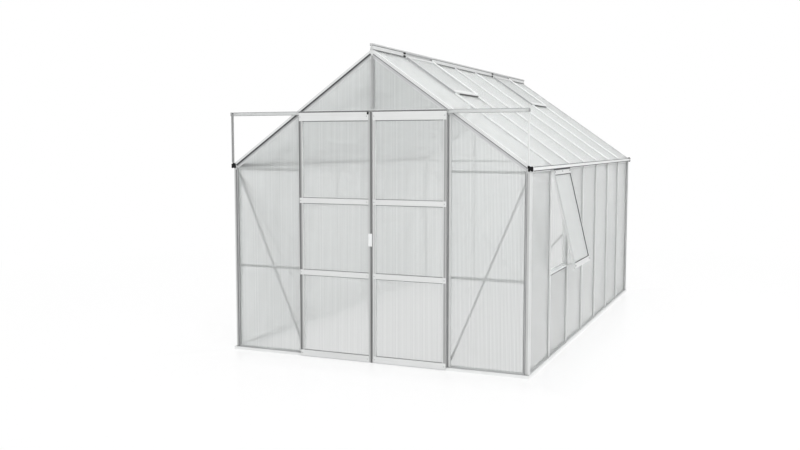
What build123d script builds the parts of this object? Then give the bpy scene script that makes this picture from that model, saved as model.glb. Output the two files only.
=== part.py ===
# A glazed garden house on an aluminium frame: saddle roof, gutters, ridge rail,
# two top-hung sliding doors, four roof vents and one tilted side window.
# Millimetres. X runs to the right, Y runs back into the house, Z is up.
# The origin lies on the underside of the front sill, in the middle of the doorway.
import os
from math import atan, cos, radians, sin

from build123d import *

# House grid
bay = 622.0
width_bays = 4
depth_bays = 7
end_margin = 28.0
eaves_height = 1553.0
roof_step = 39.0
ridge_line_height = 2487.0

# Sheets and the grooves that hold them
sheet = 4.0
sheet_play = 0.4
edge_gap = 1.5
foot_gap = 1.0
seat_gap = 0.4

# Glazing bar extrusion
bar_depth = 30.0
bar_web = 2.5
bar_foot = 18.0
bar_seat = 22.0
bar_nib = 5.0
flange = 2.0
nose_root = 14.0
nose_head = 7.0
nose_height = 10.0

# Posts
post_wall = 3.0
post_core = 6.0
post_cover = 14.0
post_bevel_start = 10.0
post_nose = 24.0
post_side = 22.0
bevel_thinning = 1.2
door_post_shift = 26.0
door_post_face = 36.0

# Sills
sill_wall = 2.5
sill_reach = 27.0
sill_edge = 22.0
sill_back_edge = 30.0
sill_inner_lip = 26.0
sill_outer_lip = 18.0

# Gutters
gutter_back = 6.0
gutter_reach = 38.0
gutter_height = 35.0
gutter_wall = 2.5
gutter_lip = 7.0
gutter_inner_lip = 18.0
gutter_outer_lip = 12.0
end_cap = 9.0
end_cap_rim = 4.0
end_cap_lap = 7.5
end_cap_round = 9.0

# Roof
roof_overhang = 18.0
rafter_cover = 26.0
rafter_core = 8.0
rafter_root = 6.0
rafter_drop = 32.0
rafter_gap = 0.5
ridge_web = 6.0
ridge_cap_width = 30.0
ridge_cap_height = 14.0
ridge_cap_round = 4.0
ridge_rise = 40.0
ridge_root = 47.0
ridge_flange = 24.0
ridge_overhang = 5.0
ridge_groove = 5.0
cover_reach = 14.0
cover_wall = 2.0

# Roof vents
front_vent_bay = 2
rear_vent_bay = 6
vent_reach = 458.0
vent_top_gap = 2.0
vent_stile = 22.0
vent_rail = 30.0
vent_edge = 8.0
vent_floor = 4.0
vent_lid = 5.5
vent_sill_lap = 20.0
vent_sill_web = 3.0
vent_sill_depth = 20.0

# Side window
window_bay = 2
window_drop = 845.0
window_sill_reach = 14.0
window_sill_depth = 26.0
window_sill_wall = 3.0
window_lip = 18.0
window_upstand = 14.0
sash_angle = 13.5
sash_lift = 27.0
sash_side_gap = 12.0
sash_stile = 20.0
sash_top_rail = 46.0
sash_bottom_rail = 40.0
sash_web = 6.0
sash_floor = 4.0
sash_lid = 5.6
sash_hinge_reach = 12.0
sash_hang_gap = 0.3
stay_width = 14.0
stay_wall = 3.0

# Girts and braces
girt_wall = 2.5
girt_height = 20.0
girt_front = 6.0
girt_low = 735.0
brace_width = 16.0
brace_wall = 3.0
brace_foot = 55.0
brace_head = 53.0
brace_inset = 14.0

# Door header, track and stays
header_height = 47.0
header_shelf = 21.0
header_shelf_wall = 3.0
header_lip = 17.0
header_face = 10.0
track_left_overrun = 27.0
track_right_overrun = 13.0
track_lift = 9.0
track_height = 30.0
track_depth = 22.0
track_wall = 2.0
track_lip = 5.0
track_stay_width = 16.0
track_stay_depth = 12.0
track_stay_wall = 3.0
track_stay_inset = 4.0

# Doors
door_lap = 10.0
meeting_left = 17.0
meeting_right = 14.0
meeting_gap = 5.5
leaf_back = 16.0
leaf_front = 37.0
rail_face = 41.0
door_sheet_back = 24.0
stile_width = 28.0
inner_stile = 24.5
stile_web = 10.0
leaf_foot = 4.0
rear_leg_foot = 12.0
stile_foot = 30.0
leaf_drop = 8.0
bottom_rail = 52.0
bottom_leg = 38.0
bottom_block = 8.0
rear_leg = 3.0
front_leg = 4.0
mid_rail = 42.0
mid_body = 28.0
mid_web = 10.0
mid_back = 19.0
mid_low = 705.0
mid_high = 1296.0
top_rail_drop = 48.0
top_rail_height = 67.0
top_body = 30.0
top_web = 14.0

# Rollers and handle
roller_radius = 10.0
roller_width = 10.0
roller_back = 15.0
roller_play = 0.3
axle_radius = 3.0
roller_inset = 76.0
handle_foot = 944.0
handle_height = 102.0
handle_depth = 6.0
handle_round = 2.0

# Derived places
half_glass = width_bays * bay / 2 + end_margin
house_depth = depth_bays * bay + 2 * end_margin
roof_eaves_height = eaves_height + roof_step
groove = sheet + sheet_play
face_out = groove + post_wall
bar_face = groove + flange
sill_back = bar_depth + sill_wall
eaves_end = half_glass + roof_overhang
eaves_stop = half_glass - gutter_back
roof_tan = (ridge_line_height - roof_eaves_height) / half_glass
roof_angle = atan(roof_tan)
roof_cos = cos(roof_angle)
roof_sin = sin(roof_angle)
corner_edge = post_core + edge_gap
bar_edge = bar_nib / 2 + edge_gap
wall_foot = sill_wall
sheet_foot = sill_wall + foot_gap
sheet_head = eaves_height - foot_gap
bar_lines = [end_margin + bay * step for step in range(1, depth_bays)]
rear_lines = [bay * (step - width_bays / 2) for step in range(1, width_bays)]
line_ends = [0.0] + bar_lines + [house_depth]
cap_foot = ridge_line_height + ridge_rise
vent_side_gap = nose_root / 2 + edge_gap
window_sill_height = eaves_height - window_drop
sash_length = window_drop - sash_lift
door_post_place = bay + door_post_shift
door_jamb = door_post_place + door_post_face / 2
door_edge = door_post_place - door_lap
under_ridge = ridge_line_height - rafter_drop / roof_cos - seat_gap
header_foot = under_ridge - door_jamb * roof_tan
track_left = half_glass + track_left_overrun
track_right = half_glass + track_right_overrun
track_foot = header_foot + track_lift
leaf_head = track_foot - leaf_drop
top_rail_foot = track_foot - top_rail_drop


def slope_height(x):
    return roof_eaves_height + (half_glass - abs(x)) * roof_tan


def plumb(depth):
    return depth / roof_cos


def patch(u0, u1, v0, v1):
    with Locations(((u0 + u1) / 2, (v0 + v1) / 2)):
        Rectangle(abs(u1 - u0), abs(v1 - v0))


def shape(points, mode=Mode.ADD):
    with BuildLine() as outline:
        Polyline(*points, close=True)
    make_face(outline.edges(), mode=mode)


def plan_at(z):
    return Plane(origin=(0, 0, z), x_dir=(1, 0, 0), z_dir=(0, 0, 1))


def front_view(y):
    return Plane(origin=(0, y, 0), x_dir=(1, 0, 0), z_dir=(0, -1, 0))


def side_view(x):
    return Plane(origin=(x, 0, 0), x_dir=(0, 1, 0), z_dir=(1, 0, 0))


def right_wall(y, z):
    return Plane(origin=(half_glass, y, z), x_dir=(0, -1, 0), z_dir=(0, 0, 1))


def left_wall(y, z):
    return Plane(origin=(-half_glass, y, z), x_dir=(0, 1, 0), z_dir=(0, 0, 1))


def front_wall(x, z):
    return Plane(origin=(x, 0, z), x_dir=(-1, 0, 0), z_dir=(0, 0, 1))


def rear_wall(x, z):
    return Plane(origin=(x, house_depth, z), x_dir=(1, 0, 0), z_dir=(0, 0, 1))


def bar_nose(line, stretch):
    # The proud bead on a bar's cap, which stands out from the sheets.
    foot = bar_face * stretch
    head = (bar_face + nose_height) * stretch
    shape(
        [
            (line - nose_root / 2, foot),
            (line + nose_root / 2, foot),
            (line + nose_head / 2, head),
            (line - nose_head / 2, head),
        ]
    )


def glazing_bar():
    # Web, inner bolt foot, sheet seat, middle nib, outer cap and bead of one extrusion.
    bar_nose(0, stretch=1)
    patch(-bar_web / 2, bar_web / 2, -bar_depth, 0)
    patch(-bar_foot / 2, bar_foot / 2, -bar_depth, flange - bar_depth)
    patch(-bar_seat / 2, bar_seat / 2, -flange, 0)
    patch(-bar_nib / 2, bar_nib / 2, -flange, bar_face)
    patch(-bar_seat / 2, bar_seat / 2, groove, bar_face)


def upright(plane, head):
    with BuildSketch(plane) as section:
        glazing_bar()
    extrude(section.sketch, amount=head - plane.origin.Z)


def slab(plane, amount, patches):
    with BuildSketch(plane) as section:
        for bounds in patches:
            patch(*bounds)
    extrude(section.sketch, amount=amount)


def roof_run(side, x0, x1, patches, noses=()):
    # Patches are (y0, y1, v0, v1), with v measured square to the roof slope.
    start = Plane(origin=(side * x0, 0, slope_height(x0)), x_dir=(0, 1, 0), z_dir=(1, 0, 0))
    with BuildSketch(start) as section:
        for y0, y1, v0, v1 in patches:
            patch(y0, y1, plumb(v0), plumb(v1))
        for line in noses:
            bar_nose(line, stretch=plumb(1))
    extrude(section.sketch, amount=(x1 - x0) / roof_cos, dir=(side * roof_cos, 0, -roof_sin))


def strip_between(plane, first, last, width, amount):
    # A flat strip from one point to another, drawn face-on in the given view.
    run = Vector(last[0] - first[0], last[1] - first[1])
    across = Vector(-run.Y, run.X).normalized() * (width / 2)
    corners = [
        (first[0] + across.X, first[1] + across.Y),
        (last[0] + across.X, last[1] + across.Y),
        (last[0] - across.X, last[1] - across.Y),
        (first[0] - across.X, first[1] - across.Y),
    ]
    with BuildSketch(plane) as outline:
        shape(corners)
    extrude(outline.sketch, amount=amount)


def save(builder, name):
    builder.part.label = name
    export_step(builder.part, "parts/" + name + ".step")


os.makedirs("parts", exist_ok=True)


# Sills: a flat tread with an outer edge, a back edge and lips that hold the sheets.
def gable_sill(gable_y, outward, back_edges, sheet_bays):
    edge_x = half_glass + sill_reach
    inner_y = gable_y - outward * sill_back
    outer_y = gable_y + outward * sill_reach
    slab(plan_at(0), sill_wall, [(-edge_x, edge_x, inner_y, outer_y)])
    edge_y = outer_y - outward * sill_wall
    edges = [(-edge_x, edge_x, edge_y, outer_y)]
    edges += [(-edge_x, sill_wall - edge_x, inner_y, outer_y)]
    edges += [(edge_x - sill_wall, edge_x, inner_y, outer_y)]
    slab(plan_at(0), sill_edge, edges)
    back_y = gable_y - outward * bar_depth
    slab(plan_at(0), sill_back_edge, [(x0, x1, inner_y, back_y) for x0, x1 in back_edges])
    inner_lip_y = gable_y - outward * flange
    slab(plan_at(0), sill_inner_lip, [(x0, x1, inner_lip_y, gable_y) for x0, x1 in sheet_bays])
    lip_y = gable_y + outward * groove
    slab(
        plan_at(0),
        sill_outer_lip,
        [(x0, x1, lip_y, lip_y + outward * flange) for x0, x1 in sheet_bays],
    )


tube_stop = half_glass - bar_depth
lip_corner = sill_back + foot_gap
lip_stop = half_glass - lip_corner
front_bays = [(door_jamb, lip_stop), (-lip_stop, -door_jamb)]
front_backs = [(door_post_place - bar_foot / 2, tube_stop), (-tube_stop, bar_foot / 2 - door_post_place)]
rear_starts = [-lip_stop] + [line + bar_seat / 2 for line in rear_lines]
rear_stops = [line - bar_seat / 2 for line in rear_lines] + [lip_stop]
rear_bays = list(zip(rear_starts, rear_stops))

with BuildPart() as front_sill:
    gable_sill(0, -1, front_backs, front_bays)
save(front_sill, "front_sill")

with BuildPart() as rear_sill:
    gable_sill(house_depth, 1, [(-tube_stop, tube_stop)], rear_bays)
save(rear_sill, "rear_sill")

side_starts = [lip_corner] + [line + bar_seat / 2 for line in bar_lines]
side_stops = [line - bar_seat / 2 for line in bar_lines] + [house_depth - lip_corner]
side_bays = list(zip(side_starts, side_stops))


def side_sill(side):
    y0 = sill_back
    y1 = house_depth - sill_back
    outer = side * (half_glass + sill_reach)
    inner = side * (half_glass - sill_back)
    slab(plan_at(0), sill_wall, [(inner, outer, y0, y1)])
    slab(plan_at(0), sill_edge, [(outer - side * sill_wall, outer, y0, y1)])
    slab(plan_at(0), sill_back_edge, [(inner, side * (half_glass - bar_depth), y0, y1)])
    lip_in = side * half_glass
    lip_out = side * (half_glass + groove)
    slab(plan_at(0), sill_inner_lip, [(lip_in - side * flange, lip_in, a, b) for a, b in side_bays])
    slab(plan_at(0), sill_outer_lip, [(lip_out, lip_out + side * flange, a, b) for a, b in side_bays])


with BuildPart() as left_sill:
    side_sill(-1)
save(left_sill, "left_sill")

with BuildPart() as right_sill:
    side_sill(1)
save(right_sill, "right_sill")


# Corner posts: a square tube, covers that hold the sheets, and a bevelled hollow nose.
def corner_post(side, gable_y, outward):
    tube = bar_depth
    walls = [
        (-tube, 0, -post_wall, 0),
        (-tube, 0, -tube, post_wall - tube),
        (-post_wall, 0, -tube, 0),
        (-tube, post_wall - tube, -tube, 0),
        (-post_core, groove, -post_core, groove),
        (-post_cover, post_bevel_start, groove, face_out),
    ]
    bevel_end = face_out + post_bevel_start - post_nose
    hollow_nose = post_nose - post_wall
    hollow_edge = groove + post_bevel_start - bevel_thinning
    nose = [
        (groove, face_out),
        (post_bevel_start, face_out),
        (post_nose, bevel_end),
        (post_nose, -post_side),
        (groove, -post_side),
    ]
    hollow = [
        (face_out, groove),
        (hollow_edge - groove, groove),
        (hollow_nose, hollow_edge - hollow_nose),
        (hollow_nose, post_wall - post_side),
        (face_out, post_wall - post_side),
    ]
    corner = Plane(
        origin=(side * half_glass, gable_y, wall_foot), x_dir=(1, 0, 0), z_dir=(0, 0, 1)
    )
    with BuildSketch(corner) as section:
        for a0, a1, b0, b1 in walls:
            patch(side * a0, side * a1, outward * b0, outward * b1)
        shape([(side * a, outward * b) for a, b in nose])
        shape([(side * a, outward * b) for a, b in hollow], Mode.SUBTRACT)
    extrude(section.sketch, amount=eaves_height - wall_foot)


with BuildPart() as corner_posts:
    for corner_side in (-1, 1):
        corner_post(corner_side, 0, -1)
        corner_post(corner_side, house_depth, 1)
save(corner_posts, "corner_posts")


# Door posts: a wide face, a web, one sheet seat towards the corner and a bolt foot.
with BuildPart() as door_posts:
    for post_side in (-1, 1):
        line = post_side * door_post_place
        out_half = post_side * bar_seat / 2
        slab(
            plan_at(wall_foot),
            header_foot - wall_foot,
            [
                (line - bar_web / 2, line + bar_web / 2, -groove, bar_depth),
                (line - door_post_face / 2, line + door_post_face / 2, -face_out, -groove),
                (line, line + out_half, 0, flange),
                (line - bar_foot / 2, line + bar_foot / 2, bar_depth - flange, bar_depth),
            ],
        )
save(door_posts, "door_posts")


def rafter_limit(x):
    return slope_height(x) - plumb(rafter_drop) - seat_gap


with BuildPart() as rear_gable_posts:
    for line in rear_lines:
        upright(rear_wall(line, wall_foot), rafter_limit(abs(line) + bar_seat / 2))
save(rear_gable_posts, "rear_gable_posts")

shelf_top = header_foot + header_shelf + header_shelf_wall
with BuildPart() as front_gable_mullion:
    upright(front_wall(0, header_foot + header_height), rafter_limit(bar_seat / 2))
save(front_gable_mullion, "front_gable_mullion")

with BuildPart() as wall_bars:
    for line in bar_lines:
        upright(left_wall(line, wall_foot), eaves_height)
        upright(right_wall(line, wall_foot), eaves_height)
save(wall_bars, "wall_bars")


# Gutters: a trough on the wall heads with lips below that hold the wall sheets.
def gutter(side, lip_bays):
    rear_end = front_view(house_depth + face_out)
    run = house_depth + 2 * face_out
    inner = side * (half_glass - gutter_back)
    outer = side * (half_glass + gutter_reach)
    top = eaves_height + gutter_height
    slab(
        rear_end,
        run,
        [
            (inner, outer, eaves_height, eaves_height + gutter_wall),
            (inner, inner + side * gutter_wall, eaves_height, top),
            (outer - side * gutter_wall, outer, eaves_height, top),
            (outer - side * gutter_lip, outer, top - gutter_wall, top),
        ],
    )
    lip_in = side * half_glass
    lip_out = side * (half_glass + groove)
    slab(
        plan_at(eaves_height - gutter_inner_lip),
        gutter_inner_lip,
        [(lip_in - side * flange, lip_in, a, b) for a, b in lip_bays],
    )
    slab(
        plan_at(eaves_height - gutter_outer_lip),
        gutter_outer_lip,
        [(lip_out, lip_out + side * flange, a, b) for a, b in lip_bays],
    )


with BuildPart() as left_gutter:
    gutter(-1, side_bays)
save(left_gutter, "left_gutter")

closed_bays = [bounds for step, bounds in enumerate(side_bays) if step + 1 != window_bay]
with BuildPart() as right_gutter:
    gutter(1, closed_bays)
save(right_gutter, "right_gutter")

with BuildPart() as gutter_end_caps:
    for cap_side in (-1, 1):
        middle = cap_side * (half_glass + (gutter_reach - gutter_back) / 2)
        cap_width = gutter_reach + gutter_back + 2 * end_cap_rim
        cap_height = gutter_height + 2 * end_cap_lap
        for plate_rear in (-face_out, house_depth + face_out + end_cap):
            with BuildSketch(front_view(plate_rear)) as plate:
                with Locations((middle, eaves_height + gutter_height / 2)):
                    RectangleRounded(cap_width, cap_height, end_cap_round)
            extrude(plate.sketch, amount=end_cap)
save(gutter_end_caps, "gutter_end_caps")


# Rafters along the gables: barge cap, face drop, sheet seat and inner lip.
def rafter(side, gable_y, inward):
    over = [
        (-face_out, rafter_cover, groove, face_out),
        (-face_out, -groove, -post_wall, face_out),
        (-groove, rafter_core, -post_wall, groove),
        (rafter_core, rafter_cover, -post_wall, 0),
    ]
    under = [
        (-face_out, -groove, -rafter_drop, 0),
        (-groove, flange, -rafter_root, 0),
        (0, flange, -rafter_drop, 0),
    ]
    for end, parts in ((eaves_end, over), (eaves_stop, under)):
        placed = [(gable_y + inward * t0, gable_y + inward * t1, v0, v1) for t0, t1, v0, v1 in parts]
        roof_run(side, rafter_gap, end, placed)


with BuildPart() as gable_rafters:
    for roof_side in (-1, 1):
        rafter(roof_side, 0, 1)
        rafter(roof_side, house_depth, -1)
save(gable_rafters, "gable_rafters")


# Roof bars: the web stops at the gutter, the cap, the seat and the bead run on over it.
def roof_bar(side, line):
    over = [
        (line - bar_seat / 2, line + bar_seat / 2, -flange, 0),
        (line - bar_nib / 2, line + bar_nib / 2, -flange, bar_face),
        (line - bar_seat / 2, line + bar_seat / 2, groove, bar_face),
    ]
    under = [
        (line - bar_web / 2, line + bar_web / 2, -bar_depth, 0),
        (line - bar_foot / 2, line + bar_foot / 2, -bar_depth, flange - bar_depth),
    ]
    roof_run(side, ridge_web / 2, eaves_end, over)
    roof_run(side, ridge_web / 2, eaves_stop, under)
    roof_run(side, cover_reach + edge_gap, eaves_end, [], [line])


with BuildPart() as roof_bars:
    for line in bar_lines:
        roof_bar(-1, line)
        roof_bar(1, line)
save(roof_bars, "roof_bars")

# Ridge beam: a web between the roof bars, carried up to a rounded hinge cap.
with BuildPart() as ridge_beam:
    ridge_half = ridge_web / 2
    upper_foot = ridge_line_height + plumb(face_out) + seat_gap
    lower_foot = ridge_line_height - ridge_root
    overhang = face_out + ridge_overhang
    setback = max(rafter_cover, bar_depth) + foot_gap
    slab(
        front_view(house_depth - setback),
        house_depth - 2 * setback,
        [
            (-ridge_half, ridge_half, lower_foot, upper_foot),
            (-ridge_flange / 2, ridge_flange / 2, lower_foot - post_wall, lower_foot),
        ],
    )
    slab(
        front_view(house_depth + overhang),
        house_depth + 2 * overhang,
        [(-ridge_half, ridge_half, upper_foot, cap_foot + ridge_cap_height / 2)],
    )
    with BuildSketch(front_view(house_depth + overhang)):
        with Locations((0, cap_foot + ridge_cap_height / 2)):
            RectangleRounded(ridge_cap_width, ridge_cap_height, ridge_cap_round)
    extrude(amount=house_depth + 2 * overhang)
save(ridge_beam, "ridge_beam")

vent_spans = [(line_ends[step - 1], line_ends[step]) for step in (front_vent_bay, rear_vent_bay)]
cover_ends = [-face_out]
for vent_front, vent_rear in vent_spans:
    cover_ends += [vent_front + vent_side_gap - foot_gap, vent_rear - vent_side_gap + foot_gap]
cover_ends += [house_depth + face_out]
cover_spans = list(zip(cover_ends[0::2], cover_ends[1::2]))

# Ridge covers: angles that close the ridge between the vents, with a plate at each gable end.
with BuildPart() as ridge_covers:
    cover_head = cap_foot - ridge_groove
    cover_foot = slope_height(cover_reach - cover_wall) + plumb(face_out) + seat_gap
    for cover_side in (-1, 1):
        for y0, y1 in cover_spans:
            slab(
                front_view(y1),
                y1 - y0,
                [
                    (
                        cover_side * ridge_web / 2,
                        cover_side * cover_reach,
                        cover_head - cover_wall,
                        cover_head,
                    ),
                    (
                        cover_side * (cover_reach - cover_wall),
                        cover_side * cover_reach,
                        cover_foot,
                        cover_head,
                    ),
                ],
            )
        close_foot = slope_height(ridge_web / 2) + plumb(face_out) + seat_gap
        for plate_rear in (cover_wall - face_out, house_depth + face_out):
            slab(
                front_view(plate_rear),
                cover_wall,
                [(cover_side * ridge_web / 2, cover_side * cover_reach, close_foot, cover_head)],
            )
save(ridge_covers, "ridge_covers")

# Door header: a front plate that carries the track, and a shelf for the gable sheets.
header_head = header_foot + header_height


def header_reach(z, limit):
    return min((under_ridge - z) / roof_tan, limit)


with BuildPart() as door_header:
    with BuildSketch(front_view(-groove)):
        low = header_reach(header_foot, door_jamb)
        high = header_reach(header_head, door_jamb)
        shape([(-low, header_foot), (low, header_foot), (high, header_head), (-high, header_head)])
    extrude(amount=header_face - groove)
    shelf_foot = header_foot + header_shelf
    shelf = header_reach(shelf_top, door_post_place - bar_web)
    lip = header_reach(shelf_top + header_lip, door_post_place - bar_web)
    slab(front_view(bar_depth), bar_depth + groove, [(-shelf, shelf, shelf_foot, shelf_top)])
    half_bar = bar_seat / 2
    slab(
        front_view(flange),
        flange,
        [(half_bar, lip, shelf_foot, shelf_top + header_lip)]
        + [(-lip, -half_bar, shelf_foot, shelf_top + header_lip)],
    )
save(door_header, "door_header")

# Door track: an open channel, longer than the doorway, that the rollers run in.
with BuildPart() as door_track:
    track_head = track_foot + track_height
    back = -header_face
    front = -(header_face + track_depth)
    with BuildSketch(side_view(-track_left)):
        patch(back - track_wall, back, track_foot, track_head)
        patch(front, back, track_foot, track_foot + track_wall)
        patch(front, back, track_head - track_wall, track_head)
        patch(front, front + track_wall, track_foot, track_foot + track_lip)
        patch(front, front + track_wall, track_head - track_lip, track_head)
    extrude(amount=track_left + track_right)
save(door_track, "door_track")

# Track stays: angles that stand on the gutter end caps and carry the ends of the track.
with BuildPart() as door_track_stays:
    stay_front = face_out + end_cap
    stay_seat = eaves_height + gutter_height + end_cap_lap
    for stay_side, track_end in ((-1, track_left), (1, track_right)):
        outer = stay_side * (track_end - track_stay_inset)
        slab(
            plan_at(stay_seat),
            track_foot - stay_seat,
            [
                (outer - stay_side * track_stay_width, outer, -stay_front, track_stay_wall - stay_front),
                (outer - stay_side * track_stay_wall, outer, -stay_front - track_stay_depth, -stay_front),
            ],
        )
save(door_track_stays, "door_track_stays")


# Girts: angles behind the gable sheets, from post to post.
def girt(x0, x1, gable_y, inward, head):
    back = gable_y + inward * bar_depth
    front = gable_y + inward * girt_front
    rear_end = max(back, front)
    slab(front_view(rear_end), abs(back - front), [(x0, x1, head - girt_wall, head)])
    leg = sorted((front, front + inward * girt_wall))
    slab(front_view(leg[1]), girt_wall, [(x0, x1, head - girt_height, head)])


with BuildPart() as gable_girts:
    girt_start = door_post_place + bar_foot / 2
    for head in (girt_low, eaves_height):
        girt(girt_start, tube_stop, 0, 1, head)
        girt(-tube_stop, -girt_start, 0, 1, head)
    starts = [-tube_stop] + [line + bar_foot / 2 for line in rear_lines]
    stops = [line - bar_foot / 2 for line in rear_lines] + [tube_stop]
    for x0, x1 in zip(starts, stops):
        girt(x0, x1, house_depth, -1, eaves_height)
save(gable_girts, "gable_girts")

# Braces: flat diagonal strips bolted to the inner feet of the posts and the bars.
brace_top = eaves_height - brace_head


def wall_braces(start_x):
    for corner_y, foot_y in (
        (brace_inset, bar_lines[1]),
        (house_depth - brace_inset, bar_lines[-2]),
    ):
        strip_between(
            side_view(start_x), (corner_y, brace_top), (foot_y, brace_foot), brace_width, brace_wall
        )


with BuildPart() as diagonal_braces:
    wall_braces(bar_depth - half_glass)
    wall_braces(half_glass - bar_depth - brace_wall)
    outer = half_glass - brace_inset
    for brace_side in (-1, 1):
        strip_between(
            front_view(bar_depth + brace_wall),
            (brace_side * door_post_place, brace_foot),
            (brace_side * outer, brace_top),
            brace_width,
            brace_wall,
        )
        strip_between(
            front_view(house_depth - bar_depth),
            (brace_side * brace_inset, brace_foot),
            (brace_side * outer, brace_top),
            brace_width,
            brace_wall,
        )
save(diagonal_braces, "diagonal_braces")


# Sheets of the walls and the gables.
def gable_head(x):
    return slope_height(x) - plumb(rafter_root + edge_gap)


front_inner = door_post_place + bar_web / 2 + edge_gap
corner_x = half_glass - corner_edge
with BuildPart() as front_panes:
    for pane_side in (-1, 1):
        with BuildSketch(front_view(0)):
            shape(
                [
                    (pane_side * front_inner, sheet_foot),
                    (pane_side * corner_x, sheet_foot),
                    (pane_side * corner_x, gable_head(corner_x)),
                    (pane_side * front_inner, gable_head(front_inner)),
                ]
            )
        extrude(amount=sheet)
        pane_low = shelf_top + foot_gap
        pane_far = shelf
        with BuildSketch(front_view(0)):
            shape(
                [
                    (pane_side * bar_edge, pane_low),
                    (pane_side * pane_far, pane_low),
                    (pane_side * pane_far, gable_head(pane_far)),
                    (pane_side * bar_edge, gable_head(bar_edge)),
                ]
            )
        extrude(amount=sheet)
save(front_panes, "front_panes")

with BuildPart() as rear_panes:
    pane_starts = [-corner_x] + [line + bar_edge for line in rear_lines]
    pane_stops = [line - bar_edge for line in rear_lines] + [corner_x]
    for x0, x1 in zip(pane_starts, pane_stops):
        with BuildSketch(front_view(house_depth + sheet)):
            shape([(x0, sheet_foot), (x1, sheet_foot), (x1, gable_head(x1)), (x0, gable_head(x0))])
        extrude(amount=sheet)
save(rear_panes, "rear_panes")

wall_starts = [corner_edge] + [line + bar_edge for line in bar_lines]
wall_stops = [line - bar_edge for line in bar_lines] + [house_depth - corner_edge]
wall_panes = list(zip(wall_starts, wall_stops))

with BuildPart() as left_wall_panes:
    slab(
        side_view(-half_glass - sheet),
        sheet,
        [(y0, y1, sheet_foot, sheet_head) for y0, y1 in wall_panes],
    )
save(left_wall_panes, "left_wall_panes")

with BuildPart() as right_wall_panes:
    heads = [sheet_head] * depth_bays
    heads[window_bay - 1] = window_sill_height - foot_gap
    slab(
        side_view(half_glass),
        sheet,
        [(y0, y1, sheet_foot, head) for (y0, y1), head in zip(wall_panes, heads)],
    )
save(right_wall_panes, "right_wall_panes")

# Roof sheets, shorter below the vents.
roof_edge = rafter_core + edge_gap
roof_starts = [roof_edge] + [line + bar_edge for line in bar_lines]
roof_stops = [line - bar_edge for line in bar_lines] + [house_depth - roof_edge]
roof_panes = list(zip(roof_starts, roof_stops))
vent_sill_place = vent_reach - vent_sill_lap


def roof_sheets(side):
    for step, (y0, y1) in enumerate(roof_panes):
        start = ridge_web / 2 + edge_gap
        if step + 1 in (front_vent_bay, rear_vent_bay):
            start = vent_sill_place + vent_sill_web + edge_gap
        roof_run(side, start, eaves_end, [(y0, y1, 0, sheet)])


with BuildPart() as left_roof_panes:
    roof_sheets(-1)
save(left_roof_panes, "left_roof_panes")

with BuildPart() as right_roof_panes:
    roof_sheets(1)
save(right_roof_panes, "right_roof_panes")

# Roof vents: frames of stiles and rails that lie on the bar caps, each with a sheet.
vent_foot = bar_face + seat_gap
vent_sheet = vent_foot + vent_floor
vent_cover = vent_sheet + groove
vent_head = vent_cover + vent_lid
vent_top = ridge_web / 2 + vent_top_gap
vents = [(side, y0 + vent_side_gap, y1 - vent_side_gap) for side in (-1, 1) for y0, y1 in vent_spans]

with BuildPart() as roof_vent_stiles:
    for side, y0, y1 in vents:
        for edge, inward in ((y0, 1), (y1, -1)):
            roof_run(
                side,
                vent_top,
                vent_reach,
                [
                    (edge, edge + inward * vent_edge, vent_foot, vent_head),
                    (edge, edge + inward * vent_stile, vent_foot, vent_sheet),
                    (edge, edge + inward * vent_stile, vent_cover, vent_head),
                ],
            )
save(roof_vent_stiles, "roof_vent_stiles")

with BuildPart() as roof_vent_rails:
    for side, y0, y1 in vents:
        inner = (y0 + vent_stile, y1 - vent_stile)
        for x0, x1, edge_x in (
            (vent_top, vent_top + vent_rail, vent_top),
            (vent_reach - vent_rail, vent_reach, vent_reach - vent_edge),
        ):
            roof_run(side, edge_x, edge_x + vent_edge, [(*inner, vent_foot, vent_head)])
            roof_run(side, x0, x1, [(*inner, vent_foot, vent_sheet), (*inner, vent_cover, vent_head)])
save(roof_vent_rails, "roof_vent_rails")

with BuildPart() as roof_vent_panes:
    inset = vent_edge + edge_gap
    for side, y0, y1 in vents:
        roof_run(
            side,
            vent_top + inset,
            vent_reach - inset,
            [(y0 + inset, y1 - inset, vent_sheet, vent_sheet + sheet)],
        )
save(roof_vent_panes, "roof_vent_panes")

with BuildPart() as roof_vent_sills:
    for side in (-1, 1):
        for y0, y1 in vent_spans:
            span = (y0 + bar_seat / 2, y1 - bar_seat / 2)
            web_end = vent_sill_place + vent_sill_web
            roof_run(side, vent_sill_place, web_end, [(*span, -vent_sill_depth, bar_face)])
            roof_run(
                side,
                vent_sill_place,
                vent_reach,
                [(*span, -flange, 0), (*span, groove, bar_face)],
            )
save(roof_vent_sills, "roof_vent_sills")

# Side window: a sill bar over the low sheet and a top-hung sash propped open.
window_lines = line_ends[window_bay - 1 : window_bay + 1]
sill_span = (window_lines[0] + bar_seat / 2, window_lines[1] - bar_seat / 2)
with BuildPart() as side_window_sill:
    y0, y1 = sill_span
    inner = half_glass - window_sill_depth
    outer = half_glass + window_sill_reach
    low = window_sill_height
    high = low + window_sill_wall
    slab(
        front_view(y1),
        y1 - y0,
        [
            (inner, outer, low, high),
            (inner, inner + window_sill_wall, low, high + window_upstand),
            (half_glass - flange, half_glass, low - window_lip, low),
            (half_glass + groove, half_glass + bar_face, low - window_lip, low),
        ],
    )
save(side_window_sill, "side_window_sill")

sash_cos = cos(radians(sash_angle))
sash_sin = sin(radians(sash_angle))
sash_depth = sash_floor + groove + sash_lid
hinge_x = half_glass + sash_hinge_reach
hinge_z = eaves_height - sash_hang_gap - sash_depth * sash_sin
sash_plane = Plane(
    origin=(hinge_x, 0, hinge_z), x_dir=(0, 1, 0), z_dir=(sash_cos, 0, sash_sin)
)
sash_front = window_lines[0] + sash_side_gap
sash_rear = window_lines[1] - sash_side_gap


def sash_layer(bounds, start, stop):
    slab(sash_plane.offset(start), stop - start, [bounds])


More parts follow.
